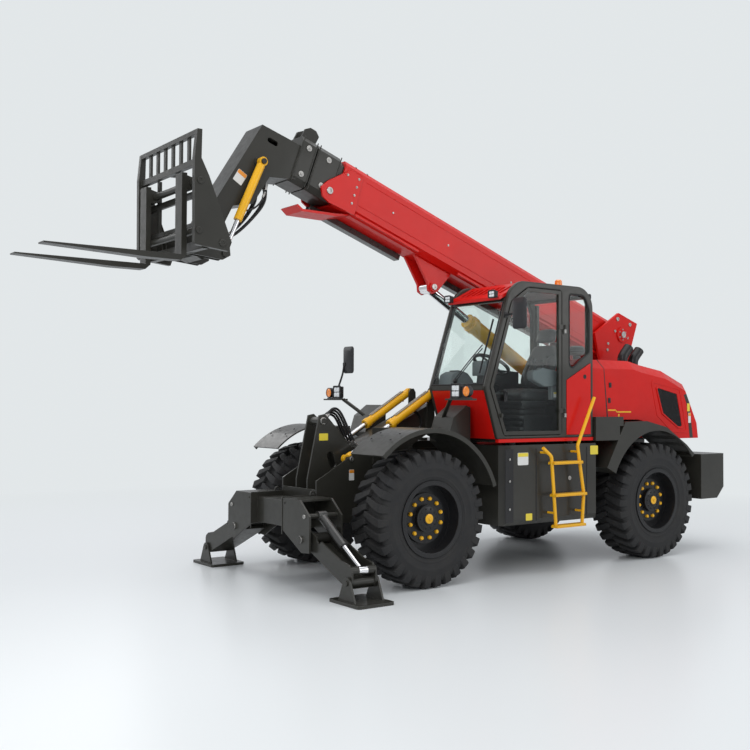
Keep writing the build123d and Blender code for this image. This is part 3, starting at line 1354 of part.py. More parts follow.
with BuildPart() as chair_cushion:
    block((-250, 260), (chair_middle_y - 250, chair_middle_y + 250), (1770 + seat_gap, 1900))
    fillet(chair_cushion.edges().filter_by(Axis.Z), 60)
chair_cushion.part.label = "chair_cushion"
export_step(chair_cushion.part, "parts/chair_cushion.step")

back_outline = [(-130, 1906), (-255, 1906), (-279, 1960), (-400, 2380), (-300, 2390), (-220, 2150)]
head_outline = [(-290, 2405), (-395, 2405), (-440, 2540), (-420, 2560), (-340, 2560)]
with BuildPart() as chair_back:
    plate(back_outline, chair_middle_y - 240, chair_middle_y + 240)
    plate(head_outline, chair_middle_y - 140, chair_middle_y + 140)
    for post_y in (chair_middle_y - 60, chair_middle_y + 60):
        plate([(-338, 2380), (-352, 2380), (-358, 2410), (-344, 2410)], post_y - 7, post_y + 7)
chair_back.part.label = "chair_back"
export_step(chair_back.part, "parts/chair_back.step")

# Cab interior: arm console, steering column with its wheel, and the front instrument binnacle
with BuildPart() as cab_interior:
    console = [(-200, 1950), (-200, 2090), (100, 2110), (230, 2070), (230, 1980), (60, 1930)]
    plate(console, chair_middle_y - 368, chair_middle_y - 268)
    block((-150, 120), (chair_middle_y - 360, chair_middle_y - 290), (cab_floor_top, 1960))
    plate([(560, cab_floor_top), (700, cab_floor_top), (610, 2060), (500, 2110), (470, 2060)], 640, 740)
    wheel_plane = Plane(origin=(origin_x + 455, chair_middle_y, 2160), z_dir=(-0.5, 0, 0.866))
    with BuildSketch(wheel_plane) as hub:
        Circle(40)
        Rectangle(380, 26)
    extrude(hub.sketch, amount=-14)
    with BuildSketch(wheel_plane.offset(-14)) as column:
        Circle(24)
    extrude(column.sketch, amount=-90)
    with BuildSketch(wheel_plane) as hoop:
        Circle(205)
        Circle(178, mode=Mode.SUBTRACT)
    extrude(hoop.sketch, amount=-26)
cab_interior.part.label = "cab_interior"
export_step(cab_interior.part, "parts/cab_interior.step")

# Work lamps and turn signals on their trays, roof lamps, beacon, and the two mirrors
lamp_foot = tray_z[1] + seat_gap
lamp_x = (1200, 1262)
lamp_span = (960, 1100)
lamp_height = 150
signal_y = 1190
signal_radius = 56
far_arm = [(1205, lamp_foot), (1232, lamp_foot), (1117, 2120), (1090, 2120)]
with BuildPart() as lamps_mirrors:
    for hand in (1, -1):
        y_pair = sorted((hand * lamp_span[0], hand * lamp_span[1]))
        block(lamp_x, y_pair, (lamp_foot, lamp_foot + lamp_height))
        long_pin(hand * signal_y, lamp_foot + 70, signal_radius, lamp_x[0], lamp_x[1])
        y_pair = sorted((hand * (signal_y - 30), hand * (signal_y + 30)))
        block(lamp_x, y_pair, (lamp_foot, lamp_foot + 60))
    plate(far_arm, -lamp_span[1] - 24, -lamp_span[1] - 6)
    block((1075, 1105), (-1140, -940), (2080, 2390))
    block((676, 716), (cab_outer_y + seat_gap, cab_outer_y + 12), (2600, 2660))
    bar(front_line(702, cab_outer_y, 2630, 0), 11, 5, 250)
    bar(side_line(690, cab_outer_y + 240, 2630, 0), 11, 0, 50)
    block((722, 757), (1290, 1482), (2475, 2785))
    for roof_lamp_y in (370, 1050):
        block((742.3, 800), (roof_lamp_y - 50, roof_lamp_y + 50), (2800, 2880))
    block((-650, -560.3), (980, 1080), (2875, 2935))
    upright_pin(-330, 900, 40, 2985 + seat_gap, 3060)
lamps_mirrors.part.label = "lamps_mirrors"
export_step(lamps_mirrors.part, "parts/lamps_mirrors.step")
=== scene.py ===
"""Telehandler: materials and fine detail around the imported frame, in metres."""
import json
import math

import bmesh
import bpy
from mathutils import Matrix, Vector


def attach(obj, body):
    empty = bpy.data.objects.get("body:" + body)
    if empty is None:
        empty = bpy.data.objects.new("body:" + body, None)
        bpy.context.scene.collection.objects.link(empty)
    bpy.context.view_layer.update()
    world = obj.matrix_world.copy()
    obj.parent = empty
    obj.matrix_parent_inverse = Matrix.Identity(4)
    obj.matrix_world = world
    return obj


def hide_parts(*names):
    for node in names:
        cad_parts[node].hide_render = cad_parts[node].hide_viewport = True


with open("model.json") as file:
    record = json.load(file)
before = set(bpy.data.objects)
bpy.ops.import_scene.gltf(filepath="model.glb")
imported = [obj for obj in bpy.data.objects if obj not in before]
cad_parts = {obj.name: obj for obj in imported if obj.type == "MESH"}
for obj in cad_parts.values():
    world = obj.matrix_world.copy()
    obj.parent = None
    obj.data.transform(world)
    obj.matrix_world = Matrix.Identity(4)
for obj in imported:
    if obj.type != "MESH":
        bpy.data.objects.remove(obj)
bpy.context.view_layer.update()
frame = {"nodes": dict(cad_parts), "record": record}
nodes = frame["nodes"]
bpy.context.scene.view_settings.view_transform = "Standard"
SHIFT = -1.0  # from the chassis frame, with x = 0 at the middle of the wheelbase, to the row frame
X, Y, Z = (1, 0, 0), (0, 1, 0), (0, 0, 1)


def link_in(name, data):
    """New object in the scene."""
    made = bpy.data.objects.new(name, data)
    bpy.context.scene.collection.objects.link(made)
    return made


# Camera, as solved from the photo
CAMERA_PLACE = Vector((7.7158 + SHIFT, 8.4809, 1.7412))
CAMERA_BACK = Vector((0.59272, 0.80493, -0.02771))
CAMERA_ROLL = math.radians(0.251)
CAMERA_SENSOR, CAMERA_LENS, CAMERA_REACH = 36, 48.3, 300


def place_camera():
    back = CAMERA_BACK.normalized()
    right = (-back).cross(Vector(Z)).normalized()
    up = right.cross(-back)
    turn, tip = math.cos(CAMERA_ROLL), math.sin(CAMERA_ROLL)
    right, up = right * turn + up * tip, up * turn - right * tip
    data = bpy.data.cameras.new("camera")
    data.sensor_width, data.lens, data.clip_end = CAMERA_SENSOR, CAMERA_LENS, CAMERA_REACH
    matrix = Matrix((right, up, back)).transposed().to_4x4()
    matrix.translation = CAMERA_PLACE
    camera = link_in("camera", data)
    camera.matrix_world = matrix
    bpy.context.scene.camera = camera


place_camera()


# Materials
def feed(node, sockets):
    """Link each socket to an output, or set it to a number, a vector or a colour."""
    for name, value in sockets.items():
        socket = node.inputs[name]
        if isinstance(value, bpy.types.NodeSocket):
            node.id_data.links.new(value, socket)
        else:
            socket.default_value = (*value, 1) if socket.type == "RGBA" else value


def add(tree, kind, sockets=(), **settings):
    node = tree.nodes.new(kind)
    for key, value in settings.items():
        setattr(node, key, value)
    feed(node, dict(sockets))
    return node


def new_material(name):
    material = bpy.data.materials.new(name)
    material.use_nodes = True
    return material, material.node_tree, material.node_tree.nodes["Principled BSDF"]


def here(tree):
    return add(tree, "ShaderNodeTexCoord").outputs["Object"]


def noise(tree, scale, detail=4.0, roughness=0.55, stretch=(1, 1, 1)):
    place = add(tree, "ShaderNodeMapping", {"Vector": here(tree), "Scale": stretch}).outputs[0]
    sockets = {"Vector": place, "Scale": scale, "Detail": detail, "Roughness": roughness}
    return add(tree, "ShaderNodeTexNoise", sockets).outputs["Fac"]


def spread(tree, value, low, high, out_low, out_high):
    sockets = {"Value": value, "From Min": low, "From Max": high, "To Min": out_low, "To Max": out_high}
    return add(tree, "ShaderNodeMapRange", sockets).outputs["Result"]


def calc(tree, operation, *values):
    return add(tree, "ShaderNodeMath", dict(enumerate(values)), operation=operation).outputs[0]


def mix_colour(tree, factor, first, second):
    return add(tree, "ShaderNodeMix", {0: factor, 6: first, 7: second}, data_type="RGBA").outputs[2]


def mix_shader(tree, factor, first, second):
    return add(tree, "ShaderNodeMixShader", {0: factor, 1: first, 2: second}).outputs[0]


def shade(colour, share):
    return tuple(min(1, c * share) for c in colour)


def bump(tree, height, strength, distance, **normal):
    sockets = {"Strength": strength, "Distance": distance, "Height": height, **normal}
    return add(tree, "ShaderNodeBump", sockets).outputs["Normal"]


def round_edges(tree, radius):
    return add(tree, "ShaderNodeBevel", {"Radius": radius}, samples=4).outputs["Normal"]


def edge_mask(tree, radius):
    """Where an edge turns: the difference between the rounded and the true normal."""
    true = add(tree, "ShaderNodeNewGeometry").outputs["Normal"]
    dot = add(tree, "ShaderNodeVectorMath", {0: round_edges(tree, radius), 1: true}, operation="DOT_PRODUCT")
    return spread(tree, calc(tree, "SUBTRACT", 1, dot.outputs["Value"]), 0.02, 0.25, 0, 1)


def paint(name, colour, rough, coat, metal=0.0, peel=0.02, edge=None, radius=0.005, vary=0.12, shine=0.5):
    """Lacquer that varies a little, with orange peel and a painted highlight: edges painted a lighter tint in broken
    patches.
    """
    material, tree, shader = new_material(name)
    wide, fine = noise(tree, 1.7, 5, 0.6), noise(tree, 16, 4, 0.6)
    cloudy = spread(tree, wide, 0.35, 0.65, 0, 1)
    base = mix_colour(tree, cloudy, shade(colour, 1 - vary), shade(colour, 1 + vary))
    # Painted highlight along the edges: the edge colour is a lighter tint of the paint, laid in broken patches.
    if edge:
        edge_highlight = calc(tree, "MULTIPLY", edge_mask(tree, radius), spread(tree, fine, 0.45, 0.62, 0, 0.75))
        base = mix_colour(tree, edge_highlight, base, edge)
    feed(shader, {
        "Base Color": base, "Metallic": metal, "Specular IOR Level": shine,
        "Coat Weight": coat, "Coat Roughness": 0.08,
        "Roughness": spread(tree, fine, 0.3, 0.7, rough * 0.8, rough * 1.25),
        "Normal": bump(tree, noise(tree, 240, 2), peel, 0.002, Normal=round_edges(tree, radius)),
    })
    return material


def metal(name, colour, rough):
    material, tree, shader = new_material(name)
    streak = noise(tree, 60, 3, 0.6)
    feed(shader, {
        "Metallic": 1, "Base Color": mix_colour(tree, streak, shade(colour, 0.85), colour),
        "Roughness": spread(tree, streak, 0.3, 0.7, rough * 0.7, rough * 1.4),
        "Normal": bump(tree, streak, 0.05, 0.001),
    })
    return material


def rubber(name, colour, dust, rough=0.72, grain=320, strength=0.18):
    material, tree, shader = new_material(name)
    wide = noise(tree, 5, 6, 0.65)
    feed(shader, {
        "Base Color": mix_colour(tree, spread(tree, wide, 0.4, 0.75, 0, 0.6), colour, dust),
        "Roughness": spread(tree, wide, 0.3, 0.7, rough * 0.85, rough * 1.15),
        "Specular IOR Level": 0.35,
        "Normal": bump(tree, noise(tree, grain, 2), strength, 0.0012, Normal=round_edges(tree, 0.004)),
    })
    return material


def glass(name, colour, least):
    """Clear sheet that mirrors least where it is seen square on."""
    material, tree, _ = new_material(name)
    clear = add(tree, "ShaderNodeBsdfTransparent", {"Color": colour}).outputs[0]
    ripple = bump(tree, noise(tree, 2.5, 2), 0.02, 0.01)
    sockets = {"Roughness": 0.02, "Color": (0.95, 0.97, 0.97), "Normal": ripple}
    gloss = add(tree, "ShaderNodeBsdfGlossy", sockets).outputs[0]
    slant = calc(tree, "POWER", add(tree, "ShaderNodeLayerWeight").outputs["Facing"], 4)
    mixed = mix_shader(tree, calc(tree, "MULTIPLY_ADD", slant, 0.55, least), clear, gloss)
    feed(tree.nodes["Material Output"], {"Surface": mixed})
    return material


def moulded(name, colour, rough, grain=450):
    material, tree, shader = new_material(name)
    wide = noise(tree, 4, 4)
    feed(shader, {
        "Base Color": mix_colour(tree, wide, shade(colour, 0.9), shade(colour, 1.1)),
        "Roughness": spread(tree, wide, 0.3, 0.7, rough * 0.85, rough * 1.15),
        "Normal": bump(tree, noise(tree, grain, 2), 0.12, 0.0008, Normal=round_edges(tree, 0.003)),
    })
    return material


def leather(name, colour):
    material, tree, shader = new_material(name)
    sockets = {"Scale": 420, "Vector": here(tree)}
    cells = add(tree, "ShaderNodeTexVoronoi", sockets, feature="DISTANCE_TO_EDGE").outputs["Distance"]
    grain = spread(tree, cells, 0, 0.25, 0, 1)
    feed(shader, {
        "Base Color": mix_colour(tree, grain, shade(colour, 0.9), colour),
        "Roughness": spread(tree, noise(tree, 6), 0.3, 0.7, 0.42, 0.58),
        "Sheen Weight": 0.15, "Normal": bump(tree, grain, 0.08, 0.0004),
    })
    return material


def lamp_glow(name, colour, strength):
    material, tree, shader = new_material(name)
    cells = add(tree, "ShaderNodeTexVoronoi", {"Scale": 55, "Vector": here(tree)}).outputs["Distance"]
    feed(shader, {
        "Base Color": mix_colour(tree, cells, colour, shade(colour, 0.75)), "Roughness": 0.15,
        "Coat Weight": 0.8, "Emission Color": colour, "Emission Strength": strength,
        "Normal": bump(tree, cells, 0.3, 0.002),
    })
    return material


# Each edge colour is a lighter tint of its paint, a painted highlight along the edges.
RED = paint("red_gloss", (0.60, 0.008, 0.005), 0.45, 0.3, peel=0.008, edge=(0.7, 0.05, 0.04), vary=0.05, shine=0.12)
DARK = paint("dark_satin", (0.03, 0.029, 0.024), 0.36, 0.2, peel=0.01, edge=(0.15, 0.145, 0.13), shine=0.28)
BLACK = paint("black_satin", (0.011, 0.011, 0.012), 0.42, 0.15, peel=0.01, edge=(0.06, 0.06, 0.06), shine=0.3)
YELLOW = paint(
    "yellow_gloss", (0.87, 0.45, 0.01), 0.35, 0.35, peel=0.008, edge=(0.92, 0.62, 0.2), vary=0.05, shine=0.25,
)
SILVER = metal("zinc_silver", (0.46, 0.45, 0.43), 0.34)
GREY = paint("grey_satin", (0.075, 0.075, 0.072), 0.3, 0.2, metal=0.4, edge=(0.3, 0.3, 0.29))
CHROME = metal("chrome_rod", (0.82, 0.82, 0.83), 0.07)
TYRE = rubber("tyre_rubber", (0.017, 0.017, 0.018), (0.045, 0.043, 0.04))
HOSE = rubber("hose_rubber", (0.012, 0.012, 0.013), (0.03, 0.03, 0.03), 0.45, 500, 0.1)
GLASS = glass("cab_glazing", (0.925, 0.955, 0.945), 0.012)
PLASTIC = moulded("black_moulding", (0.02, 0.02, 0.022), 0.48)
TRIM = moulded("grey_moulding", (0.14, 0.155, 0.165), 0.55, 300)
VINYL = leather("chair_vinyl", (0.03, 0.03, 0.032))
WHITE_LAMP = lamp_glow("lamp_clear", (0.8, 0.83, 0.85), 0.12)
AMBER = lamp_glow("lamp_amber", (0.85, 0.24, 0.01), 0.18)
REDLAMP = lamp_glow("lamp_red", (0.5, 0.01, 0.01), 0.15)
PLATE_WHITE = paint("plate_white", (0.72, 0.72, 0.7), 0.4, 0.2, vary=0.03, radius=0.002)
PLATE_YELLOW = paint("plate_yellow", (0.78, 0.62, 0.04), 0.4, 0.2, vary=0.05, radius=0.002)
PLATE_ORANGE = paint("plate_orange", (0.8, 0.28, 0.02), 0.4, 0.2, vary=0.05, radius=0.002)
MIRROR = metal("mirror_face", (0.75, 0.78, 0.8), 0.03)


# Meshes are built in the chassis frame and shifted when they are finished
def turned_ring(centre, side, other, radius, sides):
    """Points of a circle in the plane of two directions."""
    angles = [2 * math.pi * index / sides for index in range(sides)]
    return [centre + (side * math.cos(a) + other * math.sin(a)) * radius for a in angles]


def prism_faces(count):
    """Faces between an outline of so many points and its copy."""
    faces = [tuple(range(count)), tuple(range(2 * count - 1, count - 1, -1))]
    return faces + [(i, i + count, (i + 1) % count + count, (i + 1) % count) for i in range(count)]


def bridge(bm, low, high):
    """Faces round between two rings of vertices."""
    for i, j in zip(range(len(low)), [*range(1, len(low)), 0]):
        bm.faces.new((low[i], low[j], high[j], high[i]))


def show(name, mesh, material, body, angle, replaces=(), slot=None):
    """Object that carries a finished mesh, on its body."""
    mesh.materials.clear()
    mesh.materials.append(material)
    for polygon in mesh.polygons:
        polygon.use_smooth = True
    mesh.set_sharp_from_angle(angle=math.radians(angle))
    piece = link_in(name, mesh)
    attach(piece, body)
    if replaces:
        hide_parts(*replaces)
    return piece


class Kit:
    """Mesh of one piece, made of boxes, prisms, turned forms and tubes."""

    def __init__(self, name):
        self.name = name
        self.bm = bmesh.new()

    def ring(self, points):
        return [self.bm.verts.new(point) for point in points]

    def faces(self, points, faces):
        made = self.ring(points)
        for face in faces:
            self.bm.faces.new([made[i] for i in face])

    def box(self, x, y, z):
        points = [(a, b, c) for a in x for b in y for c in z]
        self.faces(points, [(0, 1, 3, 2), (4, 6, 7, 5), (0, 4, 5, 1), (2, 3, 7, 6), (0, 2, 6, 4), (1, 5, 7, 3)])

    def prism(self, outline, axis, low, high):
        """Outline in the two other axes, in x, y, z order, pulled along an axis."""
        place = {
            "x": lambda a, b, h: (h, a, b),
            "y": lambda a, b, h: (a, h, b),
            "z": lambda a, b, h: (a, b, h),
        }[axis]
        self.faces([place(a, b, h) for h in (low, high) for a, b in outline], prism_faces(len(outline)))

    def rod(self, start, end, radius, sides=24):
        run = Vector(end) - Vector(start)
        self.disc(start, run, radius, 0, run.length, sides)

    def disc(self, origin, axis, radius, low, high, sides):
        self.turned([(0, low), (radius, low), (radius, high), (0, high)], origin, axis, sides)

    def turned(self, profile, origin, axis, sides=32, close=False):
        """Turned form: radius and height pairs about an axis."""
        origin, axis = Vector(origin), Vector(axis).normalized()
        side = axis.orthogonal().normalized()
        other = axis.cross(side)
        rings = []
        for radius, height in profile:
            centre = origin + axis * height
            rings.append(self.ring(turned_ring(centre, side, other, radius, sides) if radius else [centre]))
        for low, high in zip(rings, rings[1:] + rings[:close]):
            if len(low) == len(high):
                bridge(self.bm, low, high)
                continue
            for index in range(sides):
                following = (index + 1) % sides
                if len(low) == 1:
                    self.bm.faces.new((low[0], high[index], high[following]))
                else:
                    self.bm.faces.new((low[index], low[following], high[0]))

    def tube(self, points, radius, sides=14, steps=8):
        """Tube along a smooth line through the points."""
        line = smooth_line([Vector(p) for p in points], steps)
        side = (line[1] - line[0]).normalized().orthogonal().normalized()
        rings = []
        for point, before, after in zip(line, line[:1] + line, line[1:] + line[-1:]):
            ahead = (after - before).normalized()
            side = (side - ahead * side.dot(ahead)).normalized()
            rings.append(self.ring(turned_ring(point, side, ahead.cross(side), radius, sides)))
        for low, high in zip(rings, rings[1:]):
            bridge(self.bm, low, high)
        self.bm.faces.new(rings[0][::-1])
        self.bm.faces.new(rings[-1])

    def bolt(self, point, axis, radius, height):
        """Hexagon head on a washer."""
        self.disc(point, axis, radius * 1.45, -0.002, height * 0.25, 20)
        head = [(0, 0), (radius, 0), (radius, height * 0.85), (radius * 0.82, height), (0, height)]
        self.turned(head, point, axis, 6)

    def done(self, material, body="chassis", bevel=0.0, angle=35, replaces=(), slot=None):
        bmesh.ops.recalc_face_normals(self.bm, faces=self.bm.faces)
        bmesh.ops.translate(self.bm, verts=self.bm.verts, vec=(SHIFT, 0, 0))
        mesh = bpy.data.meshes.new(self.name)
        self.bm.to_mesh(mesh)
        self.bm.free()
        piece = show(self.name, mesh, material, body, angle, replaces, slot)
        if bevel:
            modifier = piece.modifiers.new("bevel", "BEVEL")
            modifier.width, modifier.segments = bevel, 2
            modifier.limit_method, modifier.angle_limit = "ANGLE", math.radians(38)


def smooth_line(points, steps):
    """Points on a Catmull-Rom line through the given ones."""
    if len(points) == 2:
        return points
    ends = [points[0] * 2 - points[1]] + points + [points[-1] * 2 - points[-2]]
    line = []
    for a, b, c, d in zip(ends, ends[1:], ends[2:], ends[3:]):
        for step in range(steps):
            t = step / steps
            square, cube = (2 * a - 5 * b + 4 * c - d) * t * t, (3 * b - a - 3 * c + d) * t ** 3
            line.append(0.5 * ((2 * b) + (c - a) * t + square + cube))
    return line + [points[-1]]


# Finishes of the nodes that are kept
FINISH = {
    "dark_steel": DARK,
    "axle_black": BLACK,
    "rim_black": BLACK,
    "tyre": TYRE,
    "red_paint": RED,
    "yellow_paint": YELLOW,
    "cylinder_grey": GREY,
    "chrome": CHROME,
    "clear_glass": GLASS,
    "seat_fabric": VINYL,
    "black_plastic": PLASTIC,
}
slot_of = {s["node"]: s["material_slot"] for s in frame["record"]["subparts"]}
for name, node in nodes.items():
    node.data.materials.clear()
    node.data.materials.append(FINISH[slot_of[name]])


# Stage: pale floor that fades into an even pale background
BACKGROUND = (0.765, 0.80, 0.815)
FLOOR_REACH = 90.0
FADE_FROM, FADE_TO = 3.5, 11.0


def build_stage():
    world = bpy.data.worlds.new("studio")
    bpy.context.scene.world = world
    world.use_nodes = True
    tree = world.node_tree
    tree.nodes.clear()
    light = add(tree, "ShaderNodeBackground", {"Color": (0.93, 0.96, 1.0), "Strength": 0.62}).outputs[0]
    seen = add(tree, "ShaderNodeBackground", {"Color": BACKGROUND}).outputs[0]
    path = add(tree, "ShaderNodeLightPath").outputs
    either = calc(tree, "MAXIMUM", path["Is Camera Ray"], path["Is Transmission Ray"])
    add(tree, "ShaderNodeOutputWorld", {"Surface": mix_shader(tree, either, light, seen)})

    mesh = bpy.data.meshes.new("floor")
    corners = [(FLOOR_REACH * a, FLOOR_REACH * b, 0) for a, b in ((-1, -1), (1, -1), (1, 1), (-1, 1))]
    mesh.from_pydata(corners, [], [(0, 1, 2, 3)])
    floor = link_in("floor", mesh)
    material, tree, shader = new_material("floor")
    feed(shader, {"Base Color": (0.80, 0.825, 0.835), "Roughness": 0.28, "Specular IOR Level": 0.35})
    flat = add(tree, "ShaderNodeEmission", {"Color": BACKGROUND}).outputs[0]
    place = add(tree, "ShaderNodeNewGeometry").outputs["Position"]
    away = add(tree, "ShaderNodeVectorMath", {0: place}, operation="LENGTH").outputs["Value"]
    seen = add(tree, "ShaderNodeLightPath").outputs["Is Camera Ray"]
    both = calc(tree, "MULTIPLY", spread(tree, away, FADE_FROM, FADE_TO, 0, 1), seen)
    feed(tree.nodes["Material Output"], {"Surface": mix_shader(tree, both, shader.outputs[0], flat)})
    mesh.materials.append(material)


def area_light(name, place, target, size, power):
    data = bpy.data.lights.new(name, "AREA")
    data.shape = "RECTANGLE"
    data.size, data.size_y = size
    data.energy = power
    light = link_in(name, data)
    light.location = place
    light.rotation_euler = (Vector(target) - Vector(place)).to_track_quat("-Z", "Y").to_euler()


build_stage()
area_light("overhead", (0, 1, 11), (0, 0, 0), (12, 10), 560)
area_light("key", (9, 7, 7), (0, 0, 1.5), (6, 5), 330)
area_light("fill", (-8, 10, 5), (0, 0, 1.5), (6, 5), 190)
area_light("far_side", (2, -10, 6), (0, 0, 1.5), (8, 4), 200)


# Wheels: lugged tyres in place of the plain rings, and the rims' small fittings
AXLE_X, AXLE_Z = 1.65, 0.65
RIM_Y = 0.96
LUGS = 30
LUG_FLARE = 0.6  # degrees that each side of a lug spreads towards its foot
LUG_STATIONS = [
    # base radius, base y, top radius, top y, turn and half width in degrees
    (0.53, 0.2175, 0.532, 0.22, 0.0, 2.6),
    (0.56, 0.212, 0.572, 0.2203, 0.0, 3.0),
    (0.588, 0.2, 0.613, 0.2203, 0.0, 3.3),
    (0.6, 0.185, 0.64, 0.206, 0.1, 3.4),
    (0.605, 0.15, 0.648, 0.17, 0.8, 3.3),
    (0.608, 0.085, 0.65, 0.085, 3.4, 2.9),
    (0.608, 0.03, 0.65, 0.03, 5.6, 2.5),
    (0.608, -0.014, 0.65, -0.008, 6.6, 2.2),
]
CARCASS = [
    (0.345, 0.19), (0.372, 0.204), (0.392, 0.2085), (0.396, 0.213), (0.408, 0.214), (0.412, 0.2115),
    (0.44, 0.215), (0.468, 0.2185), (0.472, 0.2203), (0.486, 0.2203), (0.49, 0.219), (0.52, 0.218),
    (0.55, 0.214), (0.578, 0.205), (0.598, 0.188), (0.607, 0.16), (0.61, 0.09), (0.611, 0.0),
]
NUTS, NUT_CIRCLE = 12, 0.19
DISC_Y = 1.022
HUB_Y = DISC_Y + 0.071
HUB_BOLTS, HUB_CIRCLE = 10, 0.092


def build_tyre(corner, axle_x, hand):
    kit = Kit("lugged_tyre_" + corner)
    centre = Vector((axle_x, hand * RIM_Y, AXLE_Z))
    kit.turned(CARCASS + [(r, -y) for r, y in CARCASS[-2::-1]], centre, Y, 120, close=True)
    for side, offset in ((1, 0), (-1, 180 / LUGS)):
        for index in range(LUGS):
            start = 360 * index / LUGS + offset
            rings = []
            for base_r, base_y, top_r, top_y, turn, half in LUG_STATIONS:
                section = (
                    (base_r, base_y, -half - LUG_FLARE), (top_r, top_y, -half),
                    (top_r, top_y, half), (base_r, base_y, half + LUG_FLARE),
                )
                points = []
                for radius, y, wide in section:
                    angle = math.radians(start + turn + wide)
                    points.append(centre + Vector((radius * math.cos(angle), side * y, radius * math.sin(angle))))
                rings.append(kit.ring(points))
            for low, high in zip(rings, rings[1:]):
                for k in range(3):
                    kit.bm.faces.new((low[k], low[k + 1], high[k + 1], high[k]))
            kit.bm.faces.new(rings[0])
            kit.bm.faces.new(rings[-1][::-1])
    kit.done(TYRE, "wheel_" + corner, 0.005, 30, ("tyre_" + corner,), "tyre")


def build_wheel_fittings(corner, axle_x, hand):
    body = "wheel_" + corner
    out = Vector((0, hand, 0))

    def on_disc(radius, degrees, y):
        """Place on the wheel's disc."""
        angle = math.radians(degrees)
        return Vector((axle_x + radius * math.cos(angle), hand * y, AXLE_Z + radius * math.sin(angle)))

    nuts = Kit("wheel_nuts_" + corner)
    for index in range(NUTS):
        point = on_disc(NUT_CIRCLE, 360 / NUTS * (index + 0.5), DISC_Y + 0.0255)
        nuts.disc(point, out, 0.025, 0, 0.006, 20)
        nuts.turned([(0, 0.006), (0.0215, 0.006), (0.0215, 0.02), (0.017, 0.03), (0, 0.03)], point, out, 6)
    nuts.done(YELLOW, body, 0.0015)
    hub = Kit("hub_cover_" + corner)
    centre = Vector((axle_x, 0, AXLE_Z)) + out * HUB_Y
    profile = [(0, 0), (0.118, 0), (0.118, 0.004), (0.108, 0.01), (0.062, 0.014), (0.058, 0.022), (0, 0.022)]
    hub.turned(profile, centre, out, 64)
    for index in range(HUB_BOLTS):
        angle = math.radians(360 / HUB_BOLTS * index)
        point = centre + Vector((HUB_CIRCLE * math.cos(angle), 0, HUB_CIRCLE * math.sin(angle))) + out * 0.01
        hub.bolt(point, out, 0.0085, 0.01)
    hub.done(BLACK, body, 0.002)
    cap = Kit("hub_centre_" + corner)
    cap.turned([(0, 0.0222), (0.046, 0.0222), (0.046, 0.027), (0.036, 0.031), (0, 0.031)], centre, out, 48)
    cap.bolt(centre + out * 0.031, out, 0.014, 0.01)
    cap.done(YELLOW, body, 0.0015)
    ring = Kit("rim_ring_" + corner)
    profile = [(0.318, 0.206), (0.3185, 0.2115), (0.326, 0.2135), (0.34, 0.2125), (0.346, 0.205)]
    ring.turned(profile, Vector((axle_x, hand * RIM_Y, AXLE_Z)), out, 96)
    valve = Vector((axle_x + 0.285, hand * (DISC_Y + 0.02), AXLE_Z + 0.06))
    ring.rod(valve, valve + out * 0.05, 0.006, 12)
    ring.done(BLACK, body)


# Plates cut from outlines with rounded corners, with openings
def rectangle(half_w, half_h):
    return [(-half_w, -half_h), (half_w, -half_h), (half_w, half_h), (-half_w, half_h)]


def rounded(points, radii, steps=8):
    """Outline with each corner rounded by its radius."""
    if not hasattr(radii, "__len__"):
        radii = [radii] * len(points)
    made = []
    count = len(points)
    for index, radius in enumerate(radii):
        corner = Vector(points[index])
        before = (Vector(points[index - 1]) - corner)
        after = (Vector(points[(index + 1) % count]) - corner)
        if radius <= 0:
            made.append(tuple(corner))
            continue
        half = before.angle(after) / 2
        reach = min(radius / math.tan(half), before.length * 0.49, after.length * 0.49)
        radius = reach * math.tan(half)
        centre = corner + (before.normalized() + after.normalized()).normalized() * (radius / math.sin(half))
        first = corner + before.normalized() * reach - centre
        last = corner + after.normalized() * reach - centre
        turn = math.atan2(first.x * last.y - first.y * last.x, first.dot(last))
        for step in range(steps + 1):
            a = turn * step / steps
            made.append((
                centre.x + first.x * math.cos(a) - first.y * math.sin(a),
                centre.y + first.x * math.sin(a) + first.y * math.cos(a),
            ))
    return made


def sheet_plate(name, outline, holes, low, high, material, edge, **shown):
    """Flat upright plate with holes, its edges rounded, between two places along y."""
    curve = bpy.data.curves.new(name, "CURVE")
    curve.dimensions, curve.fill_mode = "2D", "BOTH"
    curve.extrude = (high - low) / 2 - edge
    curve.bevel_depth, curve.bevel_resolution, curve.offset = edge, 2, -edge
    for loop in [outline, *holes]:
        spline = curve.splines.new("POLY")
        spline.points.add(len(loop) - 1)
        for point, (a, b) in zip(spline.points, loop):
            point.co = (a, b, 0, 1)
        spline.use_cyclic_u = True
    carrier = link_in(name + "_curve", curve)
    bpy.context.view_layer.update()
    mesh = bpy.data.meshes.new_from_object(carrier.evaluated_get(bpy.context.evaluated_depsgraph_get()))
    bpy.data.objects.remove(carrier)
    bpy.data.curves.remove(curve)
    mesh.transform(Matrix(((1, 0, 0, SHIFT), (0, 0, 1, (low + high) / 2), (0, 1, 0, 0), (0, 0, 0, 1))))
    mesh.flip_normals()
    mesh.name = name
    show(name, mesh, material, "chassis", 32, **shown)


# Cab: rounded rings in place of the plain frame
DOORWAY = [(-0.115, 1.416), (0.714, 1.416), (0.906, 1.903), (0.611, 2.778), (0.38, 2.93), (-0.115, 2.93)]
QUARTER = [(-0.23, 2.08), (-0.23, 2.9), (-0.47, 2.9), (-0.54, 2.75), (-0.54, 2.29)]
PANEL = [(-0.19, 1.416), (-0.56, 1.416), (-0.56, 2.18), (-0.19, 1.99)]
RIGHT_WINDOW = [(-0.54, 1.96), (-0.54, 2.75), (-0.47, 2.9), (0.38, 2.93), (0.611, 2.778), (0.88, 1.96)]
CAB_LINE = [(-0.6, 1.385), (-0.6, 2.99), (0.5, 2.99), (0.64, 2.884), (0.968, 1.905), (0.802, 1.385)]
CAB_ROUND = [0.01, 0.23, 0.22, 0.2, 0.05, 0.01]
DOORWAY_ROUND = [0.04, 0.05, 0.06, 0.16, 0.16, 0.04]
